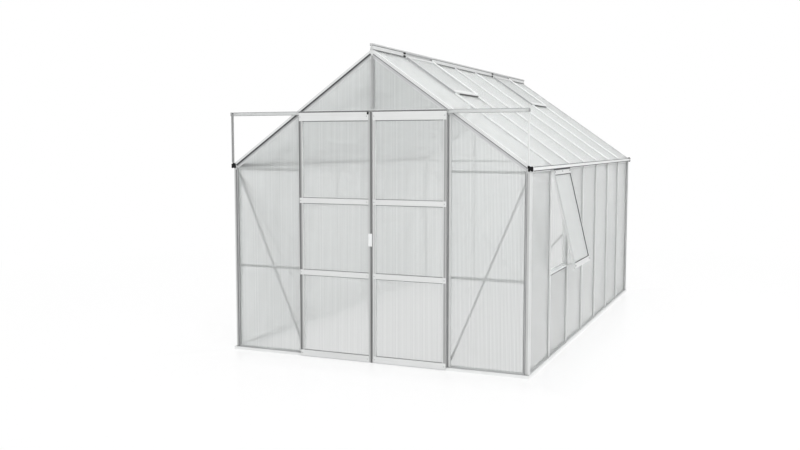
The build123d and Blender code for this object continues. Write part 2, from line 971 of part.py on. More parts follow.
def sash_bar(outer, inner, web_outer, web_inner):
    # Two plates with a groove between them, closed by a web along the outer edge.
    sash_layer(inner, 0, sash_floor)
    sash_layer(outer, sash_floor + groove, sash_depth)
    sash_layer(web_outer, 0, sash_depth)
    sash_layer(web_inner, 0, sash_depth)


with BuildPart() as side_window_stiles:
    for edge, inward in ((sash_front, 1), (sash_rear, -1)):
        bounds = (edge, edge + inward * sash_stile, -sash_length, 0)
        web = (edge, edge + inward * sash_web, -sash_length, 0)
        sash_bar(bounds, bounds, web, web)
save(side_window_stiles, "side_window_stiles")

with BuildPart() as side_window_rails:
    span = (sash_front + sash_stile, sash_rear - sash_stile)
    top = (*span, -sash_top_rail, 0)
    top_edge = (*span, -sash_web, 0)
    sash_bar(top, top, top_edge, top_edge)
    bottom = (*span, -sash_length, sash_bottom_rail - sash_length)
    bottom_edge = (*span, -sash_length, sash_web - sash_length)
    sash_bar(bottom, bottom, bottom_edge, bottom_edge)
save(side_window_rails, "side_window_rails")

with BuildPart() as side_window_pane:
    inset = sash_web + edge_gap
    bounds = (sash_front + inset, sash_rear - inset, inset - sash_length, -inset)
    sash_layer(bounds, sash_floor, sash_floor + sheet)
save(side_window_pane, "side_window_pane")

# Window stay: a flat arm from the sill upstand to the foot of the sash.
with BuildPart() as side_window_stay:
    middle = (sash_front + sash_rear) / 2
    foot_x = half_glass - window_sill_depth
    foot_z = window_sill_height + window_sill_wall + window_upstand
    head_run = sash_length - sash_bottom_rail / 2
    head_x = hinge_x + head_run * sash_sin
    head_z = hinge_z - head_run * sash_cos
    with BuildSketch(front_view(middle + stay_wall / 2)):
        shape(
            [
                (foot_x, foot_z),
                (foot_x + stay_width, foot_z),
                (head_x + stay_width * sash_sin / 2, head_z - stay_width * sash_cos / 2),
                (head_x - stay_width * sash_sin / 2, head_z + stay_width * sash_cos / 2),
            ]
        )
    extrude(amount=stay_wall)
save(side_window_stay, "side_window_stay")


# Sliding doors.
door_groove = door_sheet_back + groove
right_inner = meeting_right + meeting_gap
left_span = (-door_edge, -meeting_left)
right_span = (right_inner, door_edge)
left_body = (-door_edge + stile_width, -meeting_left)
right_body = (right_inner + inner_stile, door_edge - stile_width)


def stile(edge, inward, width, web):
    slab(
        plan_at(stile_foot),
        leaf_head - stile_foot,
        [
            (edge, edge + inward * web, -leaf_front, -leaf_back),
            (edge, edge + inward * width, -door_sheet_back, -leaf_back),
            (edge, edge + inward * width, -leaf_front, -door_groove),
        ],
    )


def rail(span, body, face, flanges, web, back):
    # Face strip across the whole leaf, two flanges and a web between the stiles.
    slab(front_view(-leaf_front), rail_face - leaf_front, [(*span, *face)])
    slab(front_view(-back), door_sheet_back - back, [(*body, *flanges)])
    slab(front_view(-door_groove), leaf_front - door_groove, [(*body, *flanges)])
    slab(front_view(-back), leaf_front - back, [(*body, *web)])


def door_rails(span, body):
    for middle in (mid_low, mid_high):
        rail(
            span,
            body,
            (middle - mid_rail / 2, middle + mid_rail / 2),
            (middle - mid_body / 2, middle + mid_body / 2),
            (middle - mid_web / 2, middle + mid_web / 2),
            mid_back,
        )
    rail(
        span,
        body,
        (top_rail_foot, top_rail_foot + top_rail_height),
        (leaf_head - top_body, leaf_head),
        (leaf_head - top_web, leaf_head),
        leaf_back,
    )
    bottom_head = leaf_foot + bottom_rail
    block_foot = leaf_foot + bottom_leg - bottom_block
    rail(
        span,
        body,
        (leaf_foot, bottom_head),
        (block_foot, bottom_head),
        (block_foot, leaf_foot + bottom_leg),
        leaf_back,
    )
    slab(front_view(-leaf_back), rear_leg, [(*body, rear_leg_foot, block_foot)])
    slab(front_view(front_leg - leaf_front), front_leg, [(*body, leaf_foot, block_foot)])


def door_panes(x0, x1):
    pane_feet = [
        leaf_foot + bottom_leg + edge_gap,
        mid_low + mid_web / 2 + edge_gap,
        mid_high + mid_web / 2 + edge_gap,
    ]
    pane_heads = [
        mid_low - mid_web / 2 - edge_gap,
        mid_high - mid_web / 2 - edge_gap,
        leaf_head - top_web - edge_gap,
    ]
    slab(
        front_view(-door_sheet_back),
        sheet,
        [(x0, x1, foot, head) for foot, head in zip(pane_feet, pane_heads)],
    )


def door_rollers(places):
    # A grooved wheel and its axle, turned about the line square to the track.
    axle_height = track_foot + track_wall + roller_play + roller_radius
    wheel_front = roller_back + roller_width
    for place in places:
        start = Plane(origin=(place, 0, axle_height), x_dir=(1, 0, 0), z_dir=(0, -1, 0))
        with BuildSketch(start.offset(roller_back)) as wheel:
            Circle(roller_radius)
        extrude(wheel.sketch, amount=roller_width)
        with BuildSketch(start.offset(wheel_front)) as axle:
            Circle(axle_radius)
        extrude(axle.sketch, amount=leaf_front - wheel_front)


with BuildPart() as left_door_stiles:
    stile(-door_edge, 1, stile_width, stile_web)
    stile(meeting_right, -1, meeting_left + meeting_right, meeting_right + stile_web / 2)
    slab(
        front_view(-leaf_front),
        rail_face - leaf_front,
        [(-meeting_left, meeting_right, leaf_foot, top_rail_foot + top_rail_height)],
    )
save(left_door_stiles, "left_door_stiles")

with BuildPart() as left_door_rails:
    door_rails(left_span, left_body)
save(left_door_rails, "left_door_rails")

with BuildPart() as left_door_panes:
    door_panes(stile_web + edge_gap - door_edge, -(stile_web / 2 + edge_gap))
save(left_door_panes, "left_door_panes")

with BuildPart() as left_door_rollers:
    door_rollers((roller_inset - door_edge, -roller_inset))
save(left_door_rollers, "left_door_rollers")

with BuildPart() as left_door_handle:
    with BuildSketch(front_view(-rail_face)):
        with Locations(((meeting_right - meeting_left) / 2, handle_foot + handle_height / 2)):
            RectangleRounded(meeting_left + meeting_right, handle_height, handle_round)
    extrude(amount=handle_depth)
    front_face = left_door_handle.faces().sort_by(Axis.Y)[0]
    fillet(front_face.edges(), handle_round)
save(left_door_handle, "left_door_handle")

with BuildPart() as right_door_stiles:
    stile(door_edge, -1, stile_width, stile_web)
    stile(right_inner, 1, inner_stile, stile_web)
save(right_door_stiles, "right_door_stiles")

with BuildPart() as right_door_rails:
    door_rails(right_span, right_body)
save(right_door_rails, "right_door_rails")

with BuildPart() as right_door_panes:
    door_panes(right_inner + stile_web + edge_gap, door_edge - stile_web - edge_gap)
save(right_door_panes, "right_door_panes")

with BuildPart() as right_door_rollers:
    door_rollers((right_inner + roller_inset, door_edge - roller_inset))
save(right_door_rollers, "right_door_rollers")
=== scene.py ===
import math

import bpy
import numpy as np
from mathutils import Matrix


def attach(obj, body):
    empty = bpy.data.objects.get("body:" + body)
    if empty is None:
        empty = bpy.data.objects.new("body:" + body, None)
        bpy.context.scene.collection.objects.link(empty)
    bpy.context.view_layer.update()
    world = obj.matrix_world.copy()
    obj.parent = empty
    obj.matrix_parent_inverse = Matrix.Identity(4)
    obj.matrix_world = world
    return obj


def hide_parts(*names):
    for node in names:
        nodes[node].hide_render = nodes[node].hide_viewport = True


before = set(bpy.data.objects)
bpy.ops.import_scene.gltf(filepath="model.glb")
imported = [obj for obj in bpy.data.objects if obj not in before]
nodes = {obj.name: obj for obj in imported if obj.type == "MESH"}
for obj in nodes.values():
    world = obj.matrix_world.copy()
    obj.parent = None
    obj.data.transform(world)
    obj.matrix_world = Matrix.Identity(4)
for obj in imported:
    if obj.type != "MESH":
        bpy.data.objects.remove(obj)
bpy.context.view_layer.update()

# The house in metres, repeated from the part's own sizes.
BAY = 0.622
BAYS = 7
BAR_START = 0.028
HALF = 1.272
DEPTH = 4.410
EAVES = 1.553
RIDGE = 2.487
ROOF_AT_WALL = 1.592
ROOF_TAN = (RIDGE - ROOF_AT_WALL) / HALF
ROOF_COS = math.cos(math.atan(ROOF_TAN))
ROOF_SIN = math.sin(math.atan(ROOF_TAN))
SHEET = 0.004
LINES = [BAR_START + BAY * step for step in range(1, BAYS)]
REAR_LINES = [-BAY, 0.0, BAY]
ENDS = [0.0] + LINES + [DEPTH]
VENT_BAYS = (1, 5)
VENT_REACH = 0.458
WINDOW_BAY = 1
SILL_HEAD = 0.018
SILL_OUT = 0.027
BAR_HALF = 0.011
DOOR_JAMB = 0.666
RAFTER_DROP = 0.032
HEADER_FOOT = 1.97887
HEADER_HEAD = HEADER_FOOT + 0.024
TRACK_FOOT = HEADER_FOOT + 0.009
# How far the corner posts lap over the sheets in the gables and in the walls.
POST_COVER = 0.014
POST_SIDE = 0.022
# How far the frame's faces and the door rails stand out from the inner plane of the sheets.
FACE_OUT = 0.0074
RAIL_FACE = 0.041

UP = np.array([0.0, 0.0, 1.0])
RIGHT = np.array([1.0, 0.0, 0.0])
BACK = np.array([0.0, 1.0, 0.0])
SIDES = (-1, 1)
# The front and rear faces of the frame and of the sheets, each with the way that it looks.
ENDS_OUT = (-FACE_OUT, DEPTH + FACE_OUT)
FRAME_FACES = ((ENDS_OUT[0], -BACK), (ENDS_OUT[1], BACK))
SHEET_FACES = ((-SHEET, -BACK), (DEPTH + SHEET, BACK))


# Meshes from arrays


def put_mesh(name, points, faces, uv=None):
    """One mesh from an array of points and face index lists; faces are turned round if the enclosed volume,
    the sum of each corner's triple product over the fan triangles, comes out negative."""
    points = np.asarray(points, float).reshape(-1, 3)
    fans = [np.asarray(block) for block in faces]
    volume = 0.0
    for block in fans:
        for k in range(1, block.shape[1] - 1):
            a, b, c = (points[block[:, i]] for i in (0, k, k + 1))
            volume += np.einsum("ij,ij->i", a, np.cross(b, c)).sum()
    rows = [row for block in fans for row in (block[:, ::-1] if volume < 0 else block).tolist()]
    mesh = bpy.data.meshes.new(name)
    mesh.from_pydata(points.tolist(), [], rows)
    if uv is not None:
        layer = mesh.uv_layers.new(name="UVMap")
        corner = np.zeros(len(mesh.loops), np.int32)
        mesh.loops.foreach_get("vertex_index", corner)
        layer.data.foreach_set("uv", np.asarray(uv, np.float32)[corner].ravel())
    mesh.update()
    piece = bpy.data.objects.new(name, mesh)
    bpy.context.scene.collection.objects.link(piece)
    return piece


def finish_piece(piece, body, slot, material, *replaced):
    """Gives a piece its finish, lets it ride on its body and hides the solids that it stands for."""
    piece.data.materials.append(material)
    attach(piece, body)
    if replaced:
        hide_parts(*replaced)
    return piece


def carry(name, profile, runs):
    """A closed profile carried along straight runs. A point is start + t (end - start) + u across + v up,
    where (u, v) is on the profile and t is 0 or 1; the ends are closed by the profile itself. Where across,
    up and the run make a left hand, the profile is taken backwards, so that every run faces outwards."""
    profile = np.asarray(profile, float)
    count = len(profile)
    start, end, across, up = (np.array([run[i] for run in runs], float) for i in range(4))
    flat = profile[:, 0, None] * across[:, None, :] + profile[:, 1, None] * up[:, None, :]
    left_hand = np.einsum("ij,ij->i", np.cross(across, up), end - start) < 0
    flat = np.where(left_hand[:, None, None], flat[:, ::-1], flat)
    points = np.stack([start[:, None, :] + flat, end[:, None, :] + flat], axis=1)
    base = np.arange(len(runs))[:, None] * 2 * count
    i = np.arange(count)
    j = (i + 1) % count
    sides = np.stack([base + i, base + j, base + count + j, base + count + i], axis=-1).reshape(-1, 4)
    ends = np.concatenate([base + i[::-1], base + count + i])
    return put_mesh(name, points, [sides, ends])


def rounded(u0, u1, v0, v1, radius, steps=3):
    """A rectangle with rounded corners: quarter circles of the radius about the four inset corners."""
    turn = np.linspace(0, np.pi / 2, steps + 1)
    left, right = u0 + radius, u1 - radius
    low, high = v0 + radius, v1 - radius
    arcs = []
    for k, (u, v) in enumerate(((right, high), (left, high), (left, low), (right, low))):
        angle = turn + k * np.pi / 2
        arcs.append(np.stack([u + radius * np.cos(angle), v + radius * np.sin(angle)], axis=1))
    return np.concatenate(arcs)


def turned(name, profile, seats, sides=8):
    """Turned heads. A profile of (radius, height) points is spun about each seat's axis: a point is
    seat + radius (cos t e1 + sin t e2) + height axis, with e1 and e2 square to the axis."""
    profile = np.asarray(profile, float)
    t = np.arange(sides) * 2 * np.pi / sides
    seat, axis = (np.array([s[i] for s in seats], float) for i in range(2))
    side = np.where(np.abs(axis[:, 2:3]) > 0.9, RIGHT, UP)
    e1 = np.cross(side, axis)
    e1 /= np.linalg.norm(e1, axis=1, keepdims=True)
    e2 = np.cross(axis, e1)
    ring = np.cos(t)[:, None] * e1[:, None, :] + np.sin(t)[:, None] * e2[:, None, :]
    points = (
        seat[:, None, None, :]
        + profile[None, :, 0, None, None] * ring[:, None, :, :]
        + profile[None, :, 1, None, None] * axis[:, None, None, :]
    )
    rows = len(profile)
    base = np.arange(len(seats))[:, None, None] * rows * sides
    low = base + np.arange(rows - 1)[None, :, None] * sides
    high = low + sides
    i = np.arange(sides)[None, None, :]
    j = (i + 1) % sides
    quads = np.stack([low + i, low + j, high + j, high + i], axis=-1).reshape(-1, 4)
    first = (base[:, 0] + np.arange(sides)[::-1]).reshape(-1, sides)
    last = (base[:, 0] + (rows - 1) * sides + np.arange(sides)).reshape(-1, sides)
    return put_mesh(name, points, [quads, first, last])


FLUTE = 0.0105
RIB_DIP = 0.0003


def fluted_sheets(name, panes):
    """Twin-wall sheets. Across the sheet s runs from 0 to 1, and the two skins stand at SHEET and 0 but dip
    by RIB_DIP at each rib, so skin(s) = SHEET - RIB_DIP where s n is whole, and its mirror at the back. The
    closed outline of both skins is carried from foot(s) to head(s), both straight in s. A pane is
    (corner, across, along, normal, width, (foot0, foot1), (head0, head1))."""
    points, uvs, quads, base = [], [], [], 0
    for corner, across, along, normal, width, foot, head in panes:
        n = max(1, int(round(width / FLUTE)))
        s = np.arange(4 * n + 1) / (4 * n)
        dip = RIB_DIP * (np.arange(4 * n + 1) % 4 == 0)
        skin = np.concatenate([SHEET - dip, dip[::-1]])
        ring = np.concatenate([s, s[::-1]])
        ends = np.stack([foot[0] + (foot[1] - foot[0]) * ring, head[0] + (head[1] - head[0]) * ring])
        block = (
            np.asarray(corner)
            + width * ring[None, :, None] * np.asarray(across)
            + ends[:, :, None] * np.asarray(along)
            + skin[None, :, None] * np.asarray(normal)
        )
        count = len(ring)
        i = np.arange(count)
        j = (i + 1) % count
        k = np.arange(4 * n)
        walls = np.stack([i, j, count + j, count + i], axis=1)
        foot_cap = np.stack([k + 1, k, count - 1 - k, count - 2 - k], axis=1)
        head_cap = np.stack([k, k + 1, count - 2 - k, count - 1 - k], axis=1) + count
        block_quads = np.concatenate([walls, foot_cap, head_cap]) + base
        left_hand = np.dot(np.cross(across, along), normal) < 0
        quads.append(block_quads[:, ::-1] if left_hand else block_quads)
        points.append(block.reshape(-1, 3))
        uvs.append(np.stack([np.tile(ring * n, 2), ends.ravel()], axis=1))
        base += 2 * count
    return put_mesh(name, np.concatenate(points), [np.concatenate(quads)], np.concatenate(uvs))


# Places on the house


def slope_height(x):
    """Height of the roof sheets' underside: the ridge less the pitch times the way from the ridge."""
    return RIDGE - np.abs(x) * ROOF_TAN


def down_slope(side):
    """The way down the roof, along the slope."""
    return np.array([side * ROOF_COS, 0.0, -ROOF_SIN])


def off_slope(side):
    """The way out of the roof, square to the slope."""
    return np.array([side * ROOF_SIN, 0.0, ROOF_COS])


def roof_point(side, x, y, v):
    """A point on the roof: out to x along the slope, back to y, and v square to the slope."""
    return np.array([side * x, y, slope_height(x) + v / ROOF_COS])


def slope_ends(side, x0, x1, y, v):
    """The two ends of a run down the roof, from x0 out to x1."""
    return roof_point(side, x0, y, v), roof_point(side, x1, y, v)


def crosswise(x0, x1, y, z, across):
    """A level run from x0 to x1, for carry."""
    return (x0, y, z), (x1, y, z), across, UP


def lengthwise(y0, y1, x, z, across):
    """A level run from y0 to y1, for carry."""
    return (x, y0, z), (x, y1, z), across, UP


def upright(z0, z1, x, y, across, out):
    """A plumb run from z0 to z1, for carry."""
    return (x, y, z0), (x, y, z1), across, out


def free_spans(first, lines, last, gap):
    """The free lengths from first to last, where each line in between takes gap on both of its sides."""
    edges = [first] + [line + way * gap for line in lines for way in SIDES] + [last]
    return list(zip(edges[0::2], edges[1::2]))


# Finishes


class Tree:
    """A node tree under construction: small helpers that add a node and return its output."""

    def __init__(self, tree):
        self.tree = tree

    def add(self, kind, **values):
        """A new node, with numbers for its named sockets."""
        node = self.tree.nodes.new(kind)
        for name, value in values.items():
            node.inputs[name].default_value = value
        return node

    def feed(self, socket, value):
        """Links an output to a socket, or sets the socket to a value."""
        if isinstance(value, bpy.types.NodeSocket):
            self.tree.links.new(value, socket)
        else:
            socket.default_value = value

    def math(self, operation, *values):
        node = self.add("ShaderNodeMath")
        node.operation = operation
        for socket, value in zip(node.inputs, values):
            self.feed(socket, value)
        return node.outputs["Value"]

    def mixed(self, first, second, share):
        """Share of the first value and the rest of the second."""
        rest = self.math("MULTIPLY", second, 1.0 - share)
        return self.math("ADD", self.math("MULTIPLY", first, share), rest)

    def ramp(self, source, low, high, low_to, high_to):
        """Maps low to low_to and high to high_to, straight in between and held outside."""
        node = self.add("ShaderNodeMapRange")
        spans = {"Value": source, "From Min": low, "From Max": high, "To Min": low_to, "To Max": high_to}
        for name, value in spans.items():
            self.feed(node.inputs[name], value)
        return node.outputs["Result"]

    def parts(self, vector):
        node = self.add("ShaderNodeSeparateXYZ")
        self.feed(node.inputs["Vector"], vector)
        return node.outputs

    def blend(self, factor, first, second):
        """Two shaders mixed by a factor."""
        node = self.add("ShaderNodeMixShader")
        for socket, value in zip(node.inputs, (factor, first, second)):
            self.feed(socket, value)
        return node.outputs[0]

    def shown_rays(self):
        """The light path, and 1 for the rays that show a background: to the camera, mirrored, or through
        a sheet."""
        path = self.add("ShaderNodeLightPath").outputs
        straight = self.math("MAXIMUM", path["Is Camera Ray"], path["Is Glossy Ray"])
        return path, self.math("MAXIMUM", straight, path["Is Transmission Ray"])


# The usual span of a noise value, a narrower one for moulded grain, and the depth of relief in metres.
NOISE = (0.3, 0.7)
GRAIN_NOISE = (0.32, 0.68)
RELIEF = 0.0004


class Finish(Tree):
    """A Principled material under construction."""

    def __init__(self, name):
        self.material = bpy.data.materials.new(name)
        self.material.use_nodes = True
        super().__init__(self.material.node_tree)
        self.shader = self.tree.nodes["Principled BSDF"]
        place = self.add("ShaderNodeTexCoord").outputs
        self.spot = place["Object"]
        self.sheet_spot = place["UV"]

    def to(self, name, value):
        self.feed(self.shader.inputs[name], value)

    def stretched(self, scale):
        node = self.add("ShaderNodeMapping", Scale=scale)
        self.feed(node.inputs["Vector"], self.spot)
        return node.outputs["Vector"]

    def noise(self, source, scale, detail, rough, socket="Vector"):
        node = self.add("ShaderNodeTexNoise", Scale=scale, Detail=detail, Roughness=rough)
        if socket == "W":
            node.noise_dimensions = "1D"
        self.feed(node.inputs[socket], source)
        return node.outputs["Fac"]

    def tint(self, source, *stops):
        """Colours at the given stops, straight in between."""
        node = self.add("ShaderNodeValToRGB")
        elements = node.color_ramp.elements
        elements[0].position = stops[0][0]
        elements[1].position = stops[-1][0]
        for place, colour in stops[1:-1]:
            elements.new(place)
        for element, (place, colour) in zip(elements, stops):
            element.color = (*colour, 1.0)
        self.feed(node.inputs["Fac"], source)
        return node.outputs["Color"]

    def shade(self, colour, factor):
        node = self.add("ShaderNodeVectorMath")
        node.operation = "SCALE"
        self.feed(node.inputs[0], colour)
        self.feed(node.inputs["Scale"], factor)
        return node.outputs[0]

    def colour_mix(self, factor, first, second):
        node = self.add("ShaderNodeMix")
        node.data_type = "RGBA"
        # Several sockets are called A, B or Result; those for colours come at these places.
        for place, value in (("Factor", factor), (6, first), (7, second)):
            self.feed(node.inputs[place], value)
        return node.outputs[2]

    def relief(self, source, strength):
        node = self.add("ShaderNodeBump", Strength=strength, Distance=RELIEF)
        self.feed(node.inputs["Height"], source)
        self.to("Normal", node.outputs["Normal"])


COOL = 0.012


def grey(level):
    """The slightly cool grey of bare aluminium."""
    return (level * (1 - COOL), level, level * (1 - COOL / 3))


# How often the die lines of a drawn bar repeat in a metre, along it and across it.
ALONG = 2.0
ACROSS = 260.0
GRAIN = {
    "x": (ALONG, ACROSS, ACROSS),
    "y": (ACROSS, ALONG, ACROSS),
    "z": (ACROSS, ACROSS, ALONG),
    "slope": (ALONG, ACROSS, ALONG),
}


def drawn_aluminium(name, way, dark, light, metal=0.55, rough=(0.34, 0.5), end_face_shade=1.0, outside=None):
    """Mill-finish aluminium: die lines along the bar, a cloudy oxide tone and a few duller patches. Faces
    that look along the house are painted darker or lighter by end_face_shade, as painted shade or light on
    those faces, and if outside is given, then only those farther than that from the middle of the house."""
    f = Finish(name)
    lines = f.noise(f.stretched(GRAIN[way]), 1.0, 4.0, 0.6)
    cloud = f.noise(f.spot, 5.0, 4.0, 0.6)
    tone = f.mixed(lines, cloud, 0.6)
    colour = f.tint(tone, (NOISE[0], grey(dark)), (NOISE[1], grey(light)))
    # Painted shade or light: faces that look along the house get their own darker or lighter tone.
    if end_face_shade != 1.0:
        facing = f.parts(f.add("ShaderNodeNewGeometry").outputs["True Normal"])["Y"]
        flat = f.ramp(f.math("MULTIPLY", facing, facing), 0.8, 0.95, 0.0, 1.0)
        if outside is not None:
            away = f.math("ABSOLUTE", f.parts(f.spot)["X"])
            flat = f.math("MULTIPLY", flat, f.math("GREATER_THAN", away, outside))
        middle = end_face_shade * (dark + light) / 2
        face = f.tint(tone, (NOISE[0], grey(0.9 * middle)), (NOISE[1], grey(1.1 * middle)))
        colour = f.colour_mix(flat, colour, face)
    f.to("Base Color", colour)
    f.to("Roughness", f.ramp(tone, *NOISE, *rough))
    f.to("Metallic", metal)
    f.relief(lines, 0.12)
    return f.material


def banded_aluminium(name, shade_bands):
    """Upright extrusion with die lines, and painted light and shade across it, lighter or darker over its
    ribs, hollows and edges, given as shade_bands of (x, level)."""
    f = Finish(name)
    lines = f.noise(f.stretched(GRAIN["z"]), 1.0, 4.0, 0.6)
    first, last = shade_bands[0][0], shade_bands[-1][0]
    wander = f.ramp(lines, *NOISE, -0.0012, 0.0012)
    # The tone across the bar is painted light and shade, read off at the spot's x.
    place = f.ramp(f.math("ADD", f.parts(f.spot)["X"], wander), first, last, 0.0, 1.0)
    stops = [((x - first) / (last - first), grey(level)) for x, level in shade_bands]
    f.to("Base Color", f.shade(f.tint(place, *stops), f.ramp(lines, *NOISE, 0.94, 1.05)))
    f.to("Roughness", f.ramp(lines, *NOISE, 0.36, 0.52))
    f.to("Metallic", 0.5)
    f.relief(lines, 0.12)
    return f.material


def twin_wall(name, dark, light, cell, rib, through):
    """Translucent twin-wall sheet: clearer cells, denser ribs, faint extrusion streaks and a thin dust
    haze. Cell and rib are their opacities, and through is the share of light that passes."""
    f = Finish(name)
    flute = f.parts(f.sheet_spot)["X"]
    ribs = f.ramp(f.math("PINGPONG", flute, 0.5), 0.05, 0.16, 1.0, 0.0)
    streak = f.noise(flute, 0.85, 3.0, 0.5, "W")
    haze = f.noise(f.spot, 2.2, 3.0, 0.5)
    tone = f.mixed(streak, haze, 0.8)
    f.to("Base Color", f.tint(tone, (NOISE[0], dark), (NOISE[1], light)))
    f.to("Alpha", f.math("ADD", f.ramp(ribs, 0.0, 1.0, cell, rib), f.ramp(tone, *NOISE, -0.02, 0.02)))
    f.to("Roughness", f.ramp(haze, *NOISE, 0.34, 0.46))
    f.to("IOR", 1.28)
    f.to("Transmission Weight", through)
    f.relief(ribs, 0.25)
    return f.material


def moulded(name, dark, light, rough=(0.55, 0.75), shine=0.5):
    """Moulded plastic or rubber: a fine spark-eroded grain with a slow change of tone and gloss."""
    f = Finish(name)
    grain = f.noise(f.spot, 420.0, 3.0, 0.6)
    cloud = f.noise(f.spot, 14.0, 3.0, 0.5)
    tone = f.mixed(grain, cloud, 0.45)
    f.to("Base Color", f.tint(tone, (GRAIN_NOISE[0], dark), (GRAIN_NOISE[1], light)))
    f.to("Roughness", f.ramp(tone, *GRAIN_NOISE, *rough))
    f.to("Specular IOR Level", shine)
    f.relief(grain, 0.2)
    return f.material


frame_x = drawn_aluminium("frame_aluminium_across", "x", 0.60, 0.76)
frame_y = drawn_aluminium("frame_aluminium_lengthwise", "y", 0.66, 0.82, 0.4)
frame_z = drawn_aluminium("frame_aluminium_upright", "z", 0.58, 0.74)
frame_slope = drawn_aluminium("rafter_aluminium", "slope", 0.66, 0.82, 0.4)
# The window sill is painted paler, as painted light that lifts the shade on its top.
window_sill_finish = drawn_aluminium("window_sill_aluminium_painted_light", "y", 0.84, 0.93, 0.1)
sill_finish = drawn_aluminium("sill_aluminium", "x", 0.76, 0.88, 0.2)
# The wall bars are painted pale, as painted light that lifts the shade of their webs seen through the
# sheets, and their outer faces that look along the house are painted darker, as painted shade.
bar_finish = drawn_aluminium(
    "wall_bar_aluminium_painted_light_and_shade", "z", 0.82, 0.94, 0.1, end_face_shade=0.48, outside=HALF + 0.002
)
# The girts are painted darker, as the painted shade of girts seen backlit through the sheets.
girt_finish = drawn_aluminium("girt_aluminium_painted_shade", "x", 0.50, 0.60, 0.4)
# The corner posts' faces that look along the house are painted darker, as painted shade.
post_finish = drawn_aluminium("corner_post_aluminium_painted_shade", "z", 0.62, 0.78, 0.5, end_face_shade=0.78)
gutter_finish = drawn_aluminium("gutter_aluminium", "y", 0.76, 0.9, 0.2)
ridge_finish = drawn_aluminium("ridge_aluminium", "y", 0.56, 0.68, 0.3)
cover_finish = drawn_aluminium("ridge_cover_aluminium", "y", 0.62, 0.75, 0.3)
roof_bar_finish = drawn_aluminium("roof_bar_aluminium", "slope", 0.72, 0.83, 0.2)
vent_bar_finish = drawn_aluminium("vent_aluminium", "slope", 0.60, 0.72, 0.2)
# A near-white finish for the vents' rear edges: a painted highlight.
painted_highlight_edge = drawn_aluminium("vent_rear_edge_painted_highlight", "slope", 0.9, 0.97, 0.05)
# The track is painted paler, as painted light that lifts the shade inside its open channel.
track_finish = drawn_aluminium("track_aluminium_painted_light", "x", 0.88, 0.96, 0.1)
sash_finish = drawn_aluminium("window_aluminium", "z", 0.62, 0.75, 0.2)
rail_finish = drawn_aluminium("door_rail_aluminium", "x", 0.68, 0.79, 0.2)
# The braces are painted near black, as the painted shade of braces seen backlit through the walls, and
# lighter on their faces that look along the house.
brace_finish = drawn_aluminium("brace_aluminium_painted_shade", "slope", 0.07, 0.13, 0.4, end_face_shade=5.4)
screw_finish = drawn_aluminium("screw_steel", "z", 0.34, 0.5, 0.8, (0.28, 0.4))
# The left stay is painted darker than the right one, as painted shade.
stay_shaded_finish = banded_aluminium(
    "stay_aluminium_painted_shade",
    [(-1.300, 0.46), (-1.200, 0.50), (1.200, 0.76), (1.300, 0.80)],
)
# Painted light and shade across the gable mullion: pale at its left edge, dark in the middle.
mullion_shaded_finish = banded_aluminium(
    "gable_mullion_painted_shade",
    [(-0.012, 0.92), (-0.007, 0.78), (-0.002, 0.50), (0.002, 0.40), (0.006, 0.46), (0.012, 0.64)],
)
# Painted light and shade across the door stiles: dark where their edges and the gaps beside them lie in
# shade.
left_stile_shaded_finish = banded_aluminium(
    "left_door_stile_painted_shade",
    [
        (-0.638, 0.17), (-0.630, 0.24), (-0.622, 0.42), (-0.613, 0.60), (-0.610, 0.92), (-0.020, 0.60),
        (-0.013, 0.50), (-0.005, 0.50), (-0.001, 0.30), (0.002, 0.14), (0.011, 0.14), (0.0135, 0.26),
        (0.014, 0.60),
    ],
)
right_stile_shaded_finish = banded_aluminium(
    "right_door_stile_painted_shade",
    [
        (0.0195, 0.94), (0.0225, 0.74), (0.026, 0.57), (0.040, 0.57), (0.043, 0.84), (0.045, 0.84),
        (0.608, 0.72), (0.616, 0.60), (0.622, 0.34), (0.627, 0.34), (0.632, 0.48), (0.638, 0.52),
    ],
)
sheet_finish = twin_wall("twin_wall_sheet", (0.855, 0.875, 0.87), (0.925, 0.94, 0.935), 0.54, 0.82, 0.79)
# A lighter copy of the sheet for the left wall and the doors: painted light.
lit_sheet_finish = twin_wall(
    "twin_wall_sheet_painted_lighter", (0.92, 0.94, 0.935), (0.975, 0.985, 0.98), 0.54, 0.82, 0.84
)
roof_finish = twin_wall("twin_wall_roof_sheet", (0.86, 0.88, 0.875), (0.95, 0.965, 0.96), 0.72, 0.92, 0.74)
vent_finish = twin_wall("twin_wall_vent_sheet", (0.82, 0.84, 0.835), (0.91, 0.925, 0.92), 0.74, 0.94, 0.74)
sash_sheet_finish = twin_wall(
    "twin_wall_window_sheet", (0.82, 0.84, 0.835), (0.91, 0.925, 0.92), 0.78, 0.94, 0.58
)
black_finish = moulded("black_end_plastic", (0.005, 0.005, 0.006), (0.014, 0.014, 0.015), (0.5, 0.7), 0.2)
# These greys serve real rubber seals and also painted shade lines along the frame; the palest is painted
# shade only.
dark_seal_and_shade = moulded("dark_rubber_and_painted_shade", (0.05, 0.051, 0.053), (0.10, 0.101, 0.104), shine=0.3)
slate_seal_and_shade = moulded("slate_rubber_and_painted_shade", (0.18, 0.183, 0.186), (0.26, 0.264, 0.268), shine=0.3)
grey_seal_and_shade = moulded("grey_rubber_and_painted_shade", (0.30, 0.305, 0.31), (0.40, 0.405, 0.41))
soft_seal_and_shade = moulded("pale_rubber_and_painted_shade", (0.48, 0.485, 0.49), (0.58, 0.585, 0.59))
pale_painted_shade = moulded("light_painted_shade", (0.58, 0.585, 0.59), (0.68, 0.685, 0.69))
roller_finish = moulded("roller_nylon", (0.30, 0.31, 0.31), (0.42, 0.43, 0.43), (0.3, 0.45))
handle_finish = moulded("handle_white_plastic", (0.80, 0.81, 0.81), (0.88, 0.89, 0.89), (0.3, 0.42))

